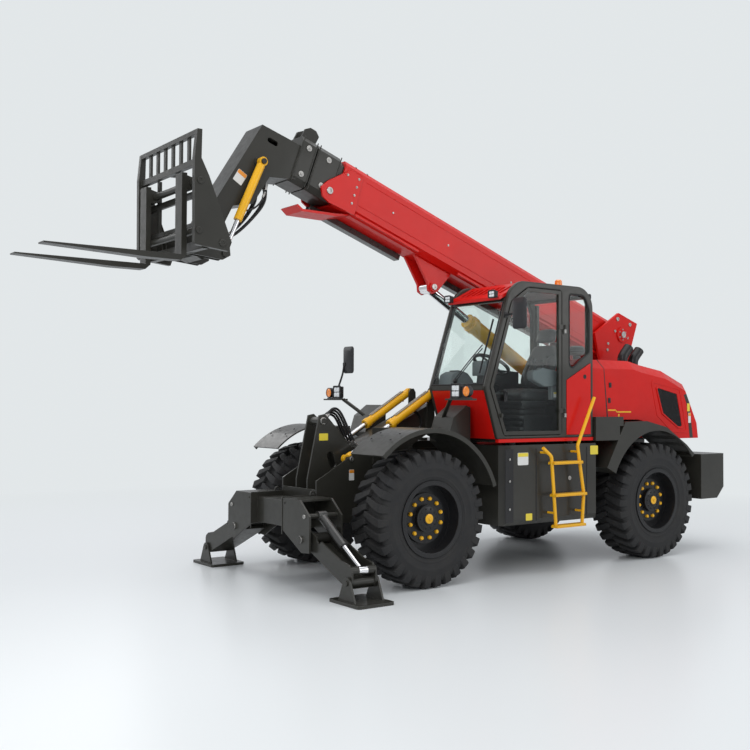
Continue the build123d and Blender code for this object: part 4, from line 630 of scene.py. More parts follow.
QUARTER_ROUND = [0.05, 0.04, 0.1, 0.14, 0.05]
RIGHT_WINDOW_ROUND = [0.05, 0.14, 0.1, 0.16, 0.16, 0.06]
CAB_NEAR, CAB_FAR = (1.105, 1.15), (0.27, 0.315)


def build_cab():
    outline = rounded(CAB_LINE, CAB_ROUND, 10)
    quarter, right_window = rounded(QUARTER, QUARTER_ROUND), rounded(RIGHT_WINDOW, RIGHT_WINDOW_ROUND)
    sheet_plate(
        "cab_ring_left", outline, [rounded(DOORWAY, DOORWAY_ROUND), quarter, rounded(PANEL, 0.02)],
        *CAB_NEAR, DARK, 0.012, replaces=("cab_frame",), slot="dark_steel",
    )
    sheet_plate("cab_ring_right", outline, [right_window], *CAB_FAR, DARK, 0.012, slot="dark_steel")
    kit = Kit("cab_cross_members")
    low, high = CAB_FAR[1], CAB_NEAR[0]
    kit.box((-0.6, 0.76), (low, high), (1.35, 1.41))
    kit.box((-0.6, 0.76), CAB_FAR, (1.35, 1.385))
    kit.prism([(0.905, 1.87), (0.957, 1.87), (0.96, 1.925), (0.905, 1.925)], "y", low, high)
    kit.prism([(0.62, 2.77), (0.676, 2.77), (0.666, 2.802), (0.6, 2.85), (0.58, 2.82)], "y", low, high)
    kit.prism([(0.36, 2.95), (0.4, 2.95), (0.4, 2.985), (0.36, 2.985)], "y", low, high)
    kit.box((-0.6, -0.56), (low, high), (1.92, 1.97))
    kit.box((-0.56, -0.5), (low, high), (2.87, 2.94))
    for y in ((low, low + 0.04), (high - 0.04, high)):
        kit.box((-0.598, -0.56), y, (1.97, 2.86))
    kit.done(DARK, bevel=0.006, slot="dark_steel")
    hinges = Kit("door_hinge_posts")
    for z in (1.6, 2.48):
        hinges.box((-0.164, -0.136), (1.15, 1.164), (z, z + 0.04))
        hinges.rod((-0.15, 1.164, z), (-0.15, 1.164, z + 0.04), 0.014)
        hinges.rod((-0.15, 1.164, z + 0.04), (-0.15, 1.164, z + 0.09), 0.006)
    hinges.done(SILVER, bevel=0.001)
    seals = Kit("window_seals")
    for line, y in ((quarter, 1.147), (right_window, 0.272)):
        seals.tube([(a, y, b) for a, b in line + line[:1]], 0.008, 8, 1)
    for y in (low + 0.01, high - 0.01):
        seals.tube([(0.955, y, 1.928), (0.673, y, 2.768)], 0.007, 8)
    seals.tube([(0.958, low, 1.93), (0.958, high, 1.93)], 0.007, 8)
    seals.done(HOSE)


# Shared small forms
BOOM_PIVOT = (-2.15, 2.6)
BOOM_ANGLE = math.radians(19.5)
BOOM_Y, COLLAR_Y = 0.18, 0.176
RIGHTWARD = (0, -1, 0)
LEFT = ((-1, 0, 0), Z)
RIGHT = (X, Z)
AHEAD = (Y, Z)
BEHIND = (RIGHTWARD, Z)
BAND_SHARE = 0.3


def on_boom(s, t, y):
    """Place in the boom's own directions: along it and above it from its pivot."""
    across, along = math.cos(BOOM_ANGLE), math.sin(BOOM_ANGLE)
    return Vector((BOOM_PIVOT[0] + s * across - t * along, y, BOOM_PIVOT[1] + s * along + t * across))


def slab(kit, centre, along, up, half_w, half_h, low, high, corner=0.0, steps=4, taper=1.0):
    """Rounded slab on a face: its outline in the two directions, between two heights off the face."""
    centre, along, up = Vector(centre), Vector(along).normalized(), Vector(up).normalized()
    out = along.cross(up)
    outline = rectangle(half_w, half_h)
    if corner:
        outline = rounded(outline, corner, steps)
    points = []
    for share, height in ((1, low), (taper, high)):
        points += [centre + along * (a * share) + up * (b * share) + out * height for a, b in outline]
    kit.faces(points, prism_faces(len(outline)))


def blank_plate(name, centre, face, size, material, band, body):
    """Blank plate with rounded corners, and a band of a second colour along its top."""
    wide, tall = size
    kit = Kit(name)
    slab(kit, centre, *face, wide / 2, tall / 2, -0.001, 0.0022, min(size) * 0.09)
    kit.done(material, body, 0.0006)
    if band:
        kit = Kit(name + "_band")
        top = Vector(centre) + Vector(face[1]).normalized() * tall * (0.5 - BAND_SHARE / 2 - 0.02)
        slab(kit, top, *face, wide / 2 * 0.94, tall * BAND_SHARE / 2, 0.0018, 0.003, 0.004)
        kit.done(band, body, 0.0004)


def pin_head(kit, centre, out, radius, high):
    shares = ((1, 0.7), (0.9, 1), (0.45, 1), (0.4, 0.6))
    profile = [(radius * wide, high * tall) for wide, tall in shares]
    kit.turned([(0, -0.003), (radius, -0.003), *profile, (0, high * 0.6)], centre, out, 32)


def pin_pairs(kit, places, out=None):
    """Pin heads on both sides, facing outwards or the given way: x, y, z, radius and height of each."""
    for hand in (1, -1):
        for x, y, z, radius, high in places:
            pin_head(kit, (x, hand * y, z), out or (0, hand, 0), radius, high)


def pin_group(name, places, material, out=None, body="chassis"):
    """Piece of pin heads alone."""
    kit = Kit(name)
    pin_pairs(kit, places, out)
    kit.done(material, body)


# Lamps, mirrors and beacon in place of their plain solids
SIGNAL_RIM = [
    (0, -0.062), (0.8, -0.06), (1, -0.045), (1, -0.004),
    (0.93, -0.001), (0.88, -0.004), (0.88, -0.012), (0, -0.012),
]
SIGNAL_LENS = [
    (0, -0.012), (0.87, -0.012), (0.86, -0.006), (0.7, -0.0025),
    (0.66, -0.004), (0.45, -0.0015), (0.4, -0.003), (0, -0.0005),
]
BEACON_FOOT = [(0, 0), (0.04, 0), (0.04, 0.01), (0.036, 0.014), (0.036, 0.019), (0, 0.019)]
BEACON_DOME = [
    (0.038, 0.018), (0.04, 0.024), (0.04, 0.042), (0.0385, 0.044), (0.04, 0.046), (0.0395, 0.064),
    (0.038, 0.066), (0.039, 0.068), (0.037, 0.086), (0.026, 0.0975), (0, 0.099),
]


def work_lamp(name, centre, face, half_w, half_h, depth):
    """Lamp head: ribbed housing behind a rounded rim, with a face of four cells."""
    along, up = Vector(face[0]), Vector(face[1])
    out = along.cross(up)
    centre = Vector(centre)
    kit = Kit(name + "_housing")
    slab(kit, centre, along, up, half_w * 0.86, half_h * 0.86, -depth, -0.018, 0.012)
    slab(kit, centre, along, up, half_w, half_h, -0.02, -0.0125, 0.016)
    for step in (-0.6, -0.2, 0.2, 0.6):
        slab(kit, centre + up * half_h * step, along, up, half_w * 0.95, 0.0025, -depth * 0.9, -0.018)
    rim = rounded(rectangle(half_w, half_h), 0.016, 4)
    line = [centre + along * a * 0.93 + up * b * 0.93 - out * 0.004 for a, b in rim]
    kit.tube(line + line[:1], 0.0055, 8, 1)
    kit.done(PLASTIC, bevel=0.0015)
    kit = Kit(name + "_cells")
    for a in (-0.38, 0.38):
        for b in (-0.38, 0.38):
            cell = centre + along * half_w * a + up * half_h * b
            slab(kit, cell, along, up, half_w * 0.34, half_h * 0.34, -0.0135, -0.0045, 0.008, taper=0.92)
            kit.turned([(0.012, -0.0045), (0.01, -0.0018), (0.005, -0.0008), (0, -0.0008)], cell, out, 16)
    kit.done(WHITE_LAMP, bevel=0.001)


def round_signal(name, centre, radius, material):
    """Round lamp that looks ahead: a rim with its lens, heights against shares of the radius."""
    for part, shares, finish in (
        ("_rim", SIGNAL_RIM, PLASTIC), ("_lens", SIGNAL_LENS, material),
    ):
        kit = Kit(name + part)
        kit.turned([(radius * share, height) for share, height in shares], centre, X, 40)
        kit.done(finish)


def mirror_head(name, low, high):
    """Mirror with a glass that looks back and a crowned back that looks ahead."""
    (x0, y0, z0), (x1, y1, z1) = low, high
    centre = Vector((x0, (y0 + y1) / 2, (z0 + z1) / 2))
    half_w, half_h, depth = (y1 - y0) / 2, (z1 - z0) / 2, x1 - x0
    kit = Kit(name + "_back")
    slab(kit, centre, *AHEAD, half_w, half_h, 0.003, depth * 0.45, 0.035, 6)
    slab(kit, centre, *AHEAD, half_w, half_h, depth * 0.45, depth, 0.035, 6, 0.72)
    kit.done(PLASTIC, bevel=0.004)
    kit = Kit(name + "_glass")
    slab(kit, centre, *AHEAD, half_w * 0.93, half_h * 0.95, 0.0008, 0.003, 0.03, 6)
    kit.done(MIRROR)


def build_lamps():
    for hand, tag in ((1, "left"), (-1, "right")):
        work_lamp("front_lamp_" + tag, (1.262, hand * 1.03, 1.862), AHEAD, 0.07, 0.075, 0.062)
        round_signal("front_signal_" + tag, (1.262, hand * 1.19, 1.857), 0.056, AMBER)
        kit = Kit("lamp_bracket_" + tag)
        kit.box((1.215, 1.24), sorted((hand * 1.09, hand * 1.15)), (1.8, 1.9))
        kit.box((1.205, 1.255), sorted((hand * 0.975, hand * 1.225)), (1.7873, 1.8))
        for y in (1.0, 1.13, 1.21):
            kit.bolt((1.23, hand * y, 1.8), Z, 0.007, 0.006)
        kit.done(PLASTIC, bevel=0.002, replaces=("lamps_mirrors",) if hand > 0 else ())
    kit = Kit("far_mirror_arm")
    kit.tube([(1.219, -1.115, 1.79), (1.19, -1.115, 1.88), (1.12, -1.115, 2.06), (1.105, -1.1, 2.18)], 0.0115, 12)
    kit.box((1.095, 1.112), (-1.118, -1.07), (2.165, 2.205))
    kit.done(BLACK, bevel=0.001)
    mirror_head("far_mirror", (1.075, -1.14, 2.08), (1.105, -0.94, 2.39))
    kit = Kit("near_mirror_arm")
    slab(kit, (0.696, 1.1503, 2.63), *LEFT, 0.02, 0.03, 0, 0.0115, 0.006)
    for z in (2.612, 2.648):
        kit.bolt((0.696, 1.1615, z), Y, 0.006, 0.005)
    kit.tube([(0.702, 1.158, 2.63), (0.702, 1.26, 2.632), (0.704, 1.37, 2.63), (0.722, 1.39, 2.63)], 0.01, 12)
    kit.disc((0.714, 1.388, 2.63), Z, 0.017, -0.018, 0.018, 20)
    kit.done(BLACK, bevel=0.001)
    mirror_head("near_mirror", (0.722, 1.29, 2.475), (0.757, 1.482, 2.785))
    work_lamp("roof_lamp_right", (0.8, 0.37, 2.84), AHEAD, 0.05, 0.04, 0.054)
    work_lamp("roof_lamp_left", (0.8, 1.05, 2.84), AHEAD, 0.05, 0.04, 0.054)
    work_lamp("rear_lamp", (-0.65, 1.03, 2.905), BEHIND, 0.05, 0.03, 0.085)
    beacon = (-0.33, 0.9, 2.9853)
    for part, profile, material in (("foot", BEACON_FOOT, PLASTIC), ("dome", BEACON_DOME, AMBER)):
        kit = Kit("beacon_" + part)
        kit.turned(profile, beacon, Z, 40)
        kit.done(material)


# Chair: soft cushions puffed by cloth pressure, with sewn channels
CHAIR_Y = 0.69
CUSHION_VOXEL = 0.008
CLOTH_FRAMES = 20
CUSHION_ENDS = [
    # share of the length, width and height as shares of the full ones
    (0.0, 0.8, 0.5), (0.03, 0.93, 0.8), (0.12, 0.985, 0.95), (0.35, 0.97, 1.0),
    (0.65, 0.97, 1.0), (0.88, 0.985, 0.93), (0.97, 0.93, 0.74), (1.0, 0.78, 0.45),
]
# Back: its front, its rear and its half width against the share of its height
BACK_FRONT = [(0.0, -0.14), (0.1, -0.138), (0.35, -0.172), (0.5, -0.214), (0.75, -0.258), (1.0, -0.305)]
BACK_REAR = [(0.0, -0.25), (0.1, -0.262), (0.35, -0.3), (0.5, -0.322), (0.75, -0.358), (1.0, -0.392)]
BACK_WIDTHS = [
    (0.0, 0.196), (0.05, 0.218), (0.2, 0.23), (0.45, 0.232), (0.62, 0.222), (0.8, 0.195), (0.92, 0.165), (1.0, 0.135),
]


def soft_piece(name, sections, replaces, cap, channels=()):
    """Closed soft form through oval sections, puffed by cloth pressure up to a cap, then sewn in."""
    bm = bmesh.new()
    shift = Vector((SHIFT, 0, 0))
    rings = [[bm.verts.new(point + shift) for point in section] for section in sections]
    for low, high in zip(rings, rings[1:]):
        bridge(bm, low, high)
    bm.faces.new(rings[0][::-1])
    bm.faces.new(rings[-1])
    bmesh.ops.recalc_face_normals(bm, faces=bm.faces)
    mesh = bpy.data.meshes.new(name)
    bm.to_mesh(mesh)
    bm.free()
    piece = link_in(name, mesh)
    remesh = piece.modifiers.new("remesh", "REMESH")
    remesh.mode, remesh.voxel_size = "VOXEL", CUSHION_VOXEL
    bake(piece)
    puff(piece, cap)
    smooth = piece.modifiers.new("smooth", "SMOOTH")
    smooth.factor, smooth.iterations = 0.5, 6
    bake(piece)
    for start, end, side, depth, width in channels:
        press(piece.data, Vector(start) + shift, Vector(end) + shift, Vector(side).normalized(), depth, width)
    divide = piece.modifiers.new("divide", "SUBSURF")
    divide.levels = divide.render_levels = 1
    bake(piece)
    for polygon in piece.data.polygons:
        polygon.use_smooth = True
    piece.data.materials.clear()
    piece.data.materials.append(VINYL)
    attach(piece, "chassis")
    if replaces:
        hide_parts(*replaces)


def bake(piece):
    bpy.context.view_layer.update()
    mesh = bpy.data.meshes.new_from_object(piece.evaluated_get(bpy.context.evaluated_depsgraph_get()))
    old = piece.data
    piece.modifiers.clear()
    piece.data = mesh
    bpy.data.meshes.remove(old)


def puff(piece, cap):
    """Cloth that swells without weight; no point moves further than the cap."""
    cloth = piece.modifiers.new("cloth", "CLOTH")
    cloth.settings.quality = 4
    cloth.settings.use_pressure = True
    cloth.settings.uniform_pressure_force = 4
    cloth.settings.effector_weights.gravity = 0
    scene = bpy.context.scene
    for frame_number in range(1, CLOTH_FRAMES + 1):
        scene.frame_set(frame_number)
    bpy.context.view_layer.update()
    puffed = piece.evaluated_get(bpy.context.evaluated_depsgraph_get())
    ends = [v.co.copy() for v in puffed.data.vertices]
    piece.modifiers.remove(cloth)
    scene.frame_set(1)
    for vertex, end in zip(piece.data.vertices, ends):
        move = end - vertex.co
        if move.length > cap:
            move *= cap / move.length
        vertex.co = vertex.co + move


def press(mesh, start, end, side, depth, width):
    """Sewn channel: points near the line, on the side that faces the given way, sink in."""
    run = end - start
    for vertex in mesh.vertices:
        if vertex.normal.dot(side) < 0.25:
            continue
        away = vertex.co - start
        off = away - run * min(1, max(0, away.dot(run) / run.length_squared))
        off -= side * off.dot(side)
        if off.length < width:
            vertex.co -= side * depth * (0.5 + 0.5 * math.cos(math.pi * off.length / width))


def oval(centre, along, up, half_a, half_b, power, count):
    """Ring of points on a rounded rectangle; a higher power is squarer."""
    ring = []
    for index in range(count):
        angle = 2 * math.pi * index / count
        c, s = math.cos(angle), math.sin(angle)
        a = math.copysign(abs(c) ** (2 / power), c)
        b = math.copysign(abs(s) ** (2 / power), s)
        ring.append(Vector(centre) + Vector(along) * a * half_a + Vector(up) * b * half_b)
    return ring


def between(table, value):
    """Value read off a table of pairs, straight between them."""
    for (a, b), (c, d) in zip(table, table[1:]):
        if value <= c:
            return b + (d - b) * (value - a) / (c - a)


def build_chair():
    rings = []
    for share, wide, tall in CUSHION_ENDS:
        top = 1.888 + 0.006 * math.sin(math.pi * share) - (0.022 * max(0, share - 0.75) / 0.25)
        low = 1.7715 + 0.018 * max(0, share - 0.8) / 0.2
        centre = (-0.245 + 0.49 * share, CHAIR_Y, (top + low) / 2)
        rings.append(oval(centre, Y, Z, 0.232 * wide, (top - low) / 2 * tall, 4.5, 44))
    sewn = [((-0.2, CHAIR_Y + d, 1.89), (0.2, CHAIR_Y + d, 1.89), Z, 0.01, 0.02) for d in (-0.135, 0.135)]
    sewn += [((x, CHAIR_Y - 0.135, 1.89), (x, CHAIR_Y + 0.135, 1.89), Z, 0.008, 0.018) for x in (-0.03, 0.13)]
    soft_piece("chair_cushion_cover", rings, ("chair_cushion",), 0.01, sewn)
    rings = []
    for share in (0.0, 0.02, 0.06, 0.15, 0.28, 0.42, 0.55, 0.68, 0.8, 0.9, 0.96, 0.99, 1.0):
        low, high = between(BACK_REAR, share), between(BACK_FRONT, share)
        ends = 0.72 if share in (0, 1) else 0.9 if share in (0.02, 0.99) else 1
        centre = ((low + high) / 2, CHAIR_Y, 1.912 + 0.472 * share)
        half = (high - low) / 2 * 0.97 * ends
        rings.append(oval(centre, X, Y, half, between(BACK_WIDTHS, share) * ends, 3.6, 44))
    lines = [((-0.15, d, 1.96), (-0.245, d * 0.95, 2.24), 0.012, 0.022) for d in (-0.12, 0.12)]
    lines += [((-0.245, a, 2.24), (-0.262, b, 2.262), 0.012, 0.02) for a, b in ((-0.114, -0.18), (0.114, 0.18))]
    yoke = ((-0.205, 0.115, 2.17), (-0.225, 0.06, 2.205), (-0.225, -0.06, 2.205), (-0.205, -0.115, 2.17))
    lines += [(start, end, 0.009, 0.018) for start, end in zip(yoke, yoke[1:])]
    sewn = [
        ((a[0], CHAIR_Y + a[1], a[2]), (b[0], CHAIR_Y + b[1], b[2]), (0.93, 0, 0.36), depth, width)
        for a, b, depth, width in lines
    ]
    soft_piece("chair_back_cover", rings, ("chair_back",), 0.009, sewn)
    rings = []
    for share in (0.0, 0.04, 0.14, 0.5, 0.84, 0.95, 1.0):
        ends = 0.7 if share in (0, 1) else 0.9 if share in (0.04, 0.95) else 1
        centre = (-0.345 - 0.04 * share, CHAIR_Y, 2.412 + 0.142 * share)
        rings.append(oval(centre, X, Y, 0.046 * ends, 0.132 * ends, 3.2, 40))
    soft_piece("chair_headrest_cover", rings, (), 0.006)
    kit = Kit("headrest_posts")
    for y in (-0.06, 0.06):
        kit.rod((-0.338, CHAIR_Y + y, 2.36), (-0.352, CHAIR_Y + y, 2.43), 0.007, 14)
    kit.done(CHROME)


# Cab: fittings inside and out
PEDAL_UP = (0.5, 0, 0.86)


def build_cab_fittings():
    kit = Kit("chair_bellows")
    for index in range(5):
        centre = (0.005, CHAIR_Y, 1.44 + 0.062 * index + 0.026)
        grow = 0.0 if index % 2 else 0.012
        slab(kit, centre, X, Y, 0.185 + grow, 0.165 + grow, -0.026, 0.0, 0.04, 5, 1.05)
        slab(kit, centre, X, Y, 0.194 + grow, 0.174 + grow, 0.0, 0.026, 0.04, 5, 0.95)
    kit.box((-0.23, 0.24), (0.475, 0.905), (1.742, 1.764))
    kit.done(PLASTIC, bevel=0.004)
    kit = Kit("arm_console")
    outline = [(-0.18, 1.935), (-0.18, 2.08), (0.09, 2.115), (0.235, 2.075), (0.235, 1.985), (0.06, 1.915)]
    kit.prism(rounded(outline, 0.03, 5), "y", 0.99, 1.075)
    kit.box((-0.14, -0.06), (1.0, 1.06), (1.78, 1.94))
    kit.done(TRIM, bevel=0.01)
    kit = Kit("levers")
    for x, y, z, h in (
        (0.15, 0.372, 2.09, 0.13), (0.16, 1.032, 2.09, 0.12), (0.05, 1.032, 2.105, 0.05), (0.09, 0.372, 2.105, 0.06),
    ):
        knob = [(0.008, h * 0.6), (0.016, h * 0.75), (0.021, h * 0.9), (0.014, h), (0, h)]
        kit.turned([(0, 0), (0.022, 0), (0.02, 0.012), (0.012, 0.03), *knob], (x, y, z), (0.15, 0, 1), 24)
    kit.tube([(0.515, 0.735, 2.1), (0.5, 0.79, 2.13), (0.48, 0.84, 2.175)], 0.006, 10)
    kit.turned([(0, 0), (0.013, 0.004), (0.014, 0.02), (0, 0.026)], (0.484, 0.832, 2.168), (-0.4, 1, 0.9), 16)
    kit.done(PLASTIC)
    kit = Kit("dashboard")
    shape = [(0.56, 1.42), (0.79, 1.42), (0.895, 1.88), (0.86, 2.04), (0.78, 2.075), (0.64, 2.06), (0.56, 1.98)]
    kit.prism(rounded(shape, 0.04, 5), "y", 0.33, 0.52)
    kit.prism(rounded([(0.56, 2.06), (0.64, 2.02), (0.64, 2.17), (0.6, 2.19)], 0.012, 3), "y", 0.59, 0.79)
    kit.done(TRIM, bevel=0.008)
    kit = Kit("display")
    slab(kit, (0.7, 0.425, 2.062), RIGHTWARD, (0.95, 0, 0.2), 0.075, 0.055, 0.006, 0.016, 0.008)
    slab(kit, (0.57, CHAIR_Y, 2.115), RIGHTWARD, (0.35, 0, 0.93), 0.08, 0.045, 0.016, 0.022, 0.012)
    kit.done(PLASTIC, bevel=0.002)
    kit = Kit("pedals")
    for y in (0.56, 0.84):
        slab(kit, (0.7, y, 1.5), RIGHTWARD, PEDAL_UP, 0.045, 0.065, 0, 0.012, 0.012)
        for step in (-1.5, -0.5, 0.5, 1.5):
            place = (0.7 + PEDAL_UP[0] * step * 0.028, y, 1.5 + PEDAL_UP[2] * step * 0.028)
            slab(kit, place, RIGHTWARD, PEDAL_UP, 0.04, 0.005, 0.012, 0.016)
        kit.tube([(0.712, y, 1.48), (0.74, y, 1.44), (0.745, y, 1.412)], 0.01, 10)
    kit.done(BLACK, bevel=0.001)
    kit = Kit("floor_mat")
    slab(kit, (0.33, CHAIR_Y, 1.4105), X, Y, 0.39, 0.35, 0.0, 0.006, 0.03, 5)
    for index in range(16):
        slab(kit, (-0.03 + 0.045 * index, CHAIR_Y, 1.4105), X, Y, 0.008, 0.33, 0.006, 0.01)
    kit.done(HOSE)
    kit = Kit("rear_shelf")
    kit.box((-0.555, -0.44), (0.33, 1.095), (1.415, 1.93))
    kit.prism(rounded([(-0.555, 1.925), (-0.42, 1.925), (-0.42, 1.96), (-0.555, 1.985)], 0.01, 3), "y", 0.33, 1.095)
    kit.done(PLASTIC, bevel=0.008)
    kit = Kit("headliner")
    kit.prism([(-0.54, 2.905), (0.34, 2.925), (0.34, 2.955), (-0.54, 2.95)], "y", 0.33, 1.09)
    kit.done(TRIM, bevel=0.008)

    kit = Kit("windscreen_wiper")
    profile = [(0, 0), (0.026, 0), (0.026, 0.012), (0.018, 0.03), (0, 0.032)]
    kit.turned(profile, (0.944, 0.68, 1.965), (0.94, 0, 0.33), 24)
    for offset in (0.0, 0.035):
        arm = [(0.968, 0.68 + offset, 1.975), (0.905, 0.82 + offset, 2.155), (0.856, 0.985, 2.33 - offset)]
        kit.tube(arm, 0.0055, 8)
    kit.done(BLACK)
    kit = Kit("wiper_blade")
    kit.tube([(0.945, 1.035, 2.04), (0.862, 1.038, 2.3), (0.765, 1.04, 2.59)], 0.006, 8)
    kit.tube([(0.935, 1.035, 2.04), (0.85, 1.038, 2.3), (0.752, 1.04, 2.59)], 0.004, 6)
    kit.done(HOSE)
    kit = Kit("door_lock")
    slab(kit, (0.7, 1.149, 1.82), *LEFT, 0.022, 0.06, 0, 0.008, 0.01)
    kit.turned([(0, 0), (0.013, 0), (0.012, 0.006), (0, 0.006)], (0.7, 1.157, 1.795), Y, 20)
    kit.tube([(0.7, 1.155, 1.86), (0.7, 1.176, 1.85), (0.7, 1.176, 1.82)], 0.008, 10)
    kit.done(BLACK, "door", bevel=0.001)


# Hood: seams, grille, stripe and tail strip
HOOD_PLATES = [
    # name, centre, face, size, colour, colour of its band, body
    ("tail_plate_yellow", (-2.384, 1.0515, 1.705), LEFT, (0.046, 0.095), PLATE_YELLOW, None, "chassis"),
    ("tail_plate_white", (-2.404, 1.0515, 1.58), LEFT, (0.046, 0.12), PLATE_WHITE, PLATE_ORANGE, "chassis"),
]
HOOD_Y, GRILLE_Y = 1.05, 1.0485
GRILLE_BORDER = [(-1.689, 2.02), (-2.233, 1.933), (-2.38, 1.402), (-2.08, 1.41), (-1.797, 1.61)]
GRILLE_OPENING = [(-1.72, 1.99), (-2.212, 1.908), (-2.34, 1.43), (-2.092, 1.436), (-1.826, 1.625)]
GRILLE_FRAME = [(-1.771, 1.951), (-2.175, 1.873), (-2.285, 1.452), (-2.18, 1.46), (-1.885, 1.63)]
GRILLE_HOLE = [(-1.795, 1.932), (-2.158, 1.86), (-2.255, 1.478), (-2.176, 1.484), (-1.906, 1.64)]
# Strokes of the stripe: x, z, half width and half height
HOOD_STRIPE = [(-1.0125, 1.672, 0.0575, 0.008), (-1.2245, 1.652, 0.1195, 0.008), (-1.134, 1.615, 0.012, 0.014)]
TAIL_CHAMFER = [((-2.466, 1.36), (-2.567, 1.36)), ((-2.404, 1.7675), (-2.5, 1.8)), ((-2.352, 1.86), (-2.447, 1.896))]
TAIL_BAND = [(-2.47, 1.345), (-2.4035, 1.766), (-2.348, 1.866), (-2.3, 1.85), (-2.35, 1.752), (-2.408, 1.345)]


def inside(outline, x, z):
    """Whether a point lies within a convex outline."""
    return all(
        (bx - ax) * (z - az) - (bz - az) * (x - ax) > 0
        for (ax, az), (bx, bz) in zip(outline, outline[1:] + outline[:1])
    )


def build_grille():
    border, frame_line = rounded(GRILLE_BORDER, 0.03, 5), rounded(GRILLE_FRAME, 0.025, 5)
    opening, hole = rounded(GRILLE_OPENING, 0.024, 5), rounded(GRILLE_HOLE, 0.018, 5)
    sheet_plate("grille_border", border, [opening], GRILLE_Y, 1.054, RED, 0.0022)
    sheet_plate("grille_frame", frame_line, [hole], GRILLE_Y, 1.06, RED, 0.004)
    backing = Kit("grille_backing")
    backing.prism(hole, "y", 1.049, 1.051)
    backing.done(HOSE)
    wires = Kit("grille_mesh")
    slant, pitch, stride, reach = 0.7071, 0.0165, 0.008, range(-60, 61)
    for turn in (1, -1):
        for index in reach:
            offset = index * pitch
            run = []
            for step in reach:
                t = step * stride
                x = -2.02 + (t + offset / 2) * slant
                z = 1.7 + turn * (t - offset / 2) * slant
                if inside(GRILLE_HOLE, x, z):
                    run.append((x, 1.053 + turn * 0.0006, z))
            if len(run) > 1:
                wires.tube([run[0], run[-1]], 0.0016, 4)
    wires.done(BLACK)


def build_hood_details():
    seam = Kit("hood_seams")
    seam.prism([(-0.936, 1.566), (-0.958, 1.566), (-0.893, 2.128), (-0.883, 2.128)], "y", 1.0488, 1.0508)
    slab(seam, (-0.888, HOOD_Y - 0.05, 2.18), X, (0, -1, 1), 0.006, 0.069, -0.001, 0.0008)
    slab(seam, (-0.888, 0.64, 2.23), X, Y, 0.006, 0.31, -0.001, 0.0008)
    seam.done(BLACK)
    build_grille()
    stripe = Kit("hood_stripe")
    for x, z, half_w, half_h in HOOD_STRIPE:
        slab(stripe, (x, HOOD_Y, z), *LEFT, half_w, half_h, -0.0005, 0.0016, 0.003)
    slant = ((-1.066, 1.68), (-1.082, 1.68), (-1.116, 1.644), (-1.1, 1.644))
    stripe.faces([(x, HOOD_Y + 0.0016, z) for x, z in slant], [(0, 1, 2, 3)])
    stripe.done(YELLOW)
    strip = Kit("hood_tail_strip")
    out = Vector((-0.7, 0.7, 0.1)).normalized()
    points = []
    for high in (-0.004, 0.002):
        for (xi, zi), (xo, zo) in TAIL_CHAMFER:
            for share in (0.18, 0.78):
                place = Vector((xi + (xo - xi) * share, HOOD_Y - 0.1 * share, zi + (zo - zi) * share))
                points.append(place + out * high)
    strip.faces(points, [
        (0, 1, 3, 2), (2, 3, 5, 4), (6, 8, 9, 7), (8, 10, 11, 9), (0, 6, 7, 1),
        (1, 7, 9, 3), (3, 9, 11, 5), (5, 11, 10, 4), (4, 10, 8, 2), (2, 8, 6, 0),
    ])
    strip.done(DARK)
    band = Kit("hood_tail_band")
    band.prism(TAIL_BAND, "y", 1.0485, 1.0516)
    band.done(DARK, bevel=0.001)
    for plate in HOOD_PLATES:
        blank_plate(*plate)
    latch = Kit("hood_latches")
    for x, z in ((-0.99, 1.95), (-0.975, 1.78)):
        slab(latch, (x, HOOD_Y, z), *LEFT, 0.02, 0.028, -0.001, 0.006, 0.008)
        latch.turned([(0, 0.006), (0.01, 0.006), (0.009, 0.01), (0, 0.01)], (x, HOOD_Y, z), Y, 20)
    latch.done(BLACK, bevel=0.001)
    tail = Kit("hood_tail_grille")
    for index in range(9):
        z = 1.4 + 0.034 * index
        x = -2.572 + 0.07 * (z - 1.36) / 0.44
        tail.box((x - 0.006, x + 0.02), (0.42, 0.92), (z, z + 0.014))
    tail.done(BLACK, bevel=0.002)


# The other blank plates
BOX_Y = 1.15
NECK_FACE = ((-0.85, 0, -0.53), (-0.53, 0, 0.85))
PLATES = [
    # name, centre, face, size, colour, colour of its band, body
    ("box_plate_white", (0.452, BOX_Y, 1.18), LEFT, (0.15, 0.125), PLATE_WHITE, PLATE_YELLOW, "chassis"),
    ("box_plate_yellow", (-0.612, BOX_Y, 1.246), LEFT, (0.12, 0.095), PLATE_YELLOW, None, "chassis"),
    ("box_plate_low", (0.367, BOX_Y, 0.589), LEFT, (0.09, 0.07), PLATE_YELLOW, None, "chassis"),
    ("nose_plate", (2.184, 0.11, 1.4), LEFT, (0.105, 0.07), PLATE_YELLOW, None, "chassis"),
    ("side_plate_label", (1.989, 0.32, 1.028), LEFT, (0.06, 0.105), PLATE_WHITE, PLATE_ORANGE, "chassis"),
    ("neck_plate", (3.173, 0.16, 3.855), NECK_FACE, (0.105, 0.125), PLATE_WHITE, PLATE_ORANGE, "stage_3"),
    ("console_plate", (-0.105, 1.0605, 1.835), LEFT, (0.04, 0.055), PLATE_WHITE, PLATE_YELLOW, "chassis"),
]


def build_plates():
    for plate in PLATES:
        blank_plate(*plate)


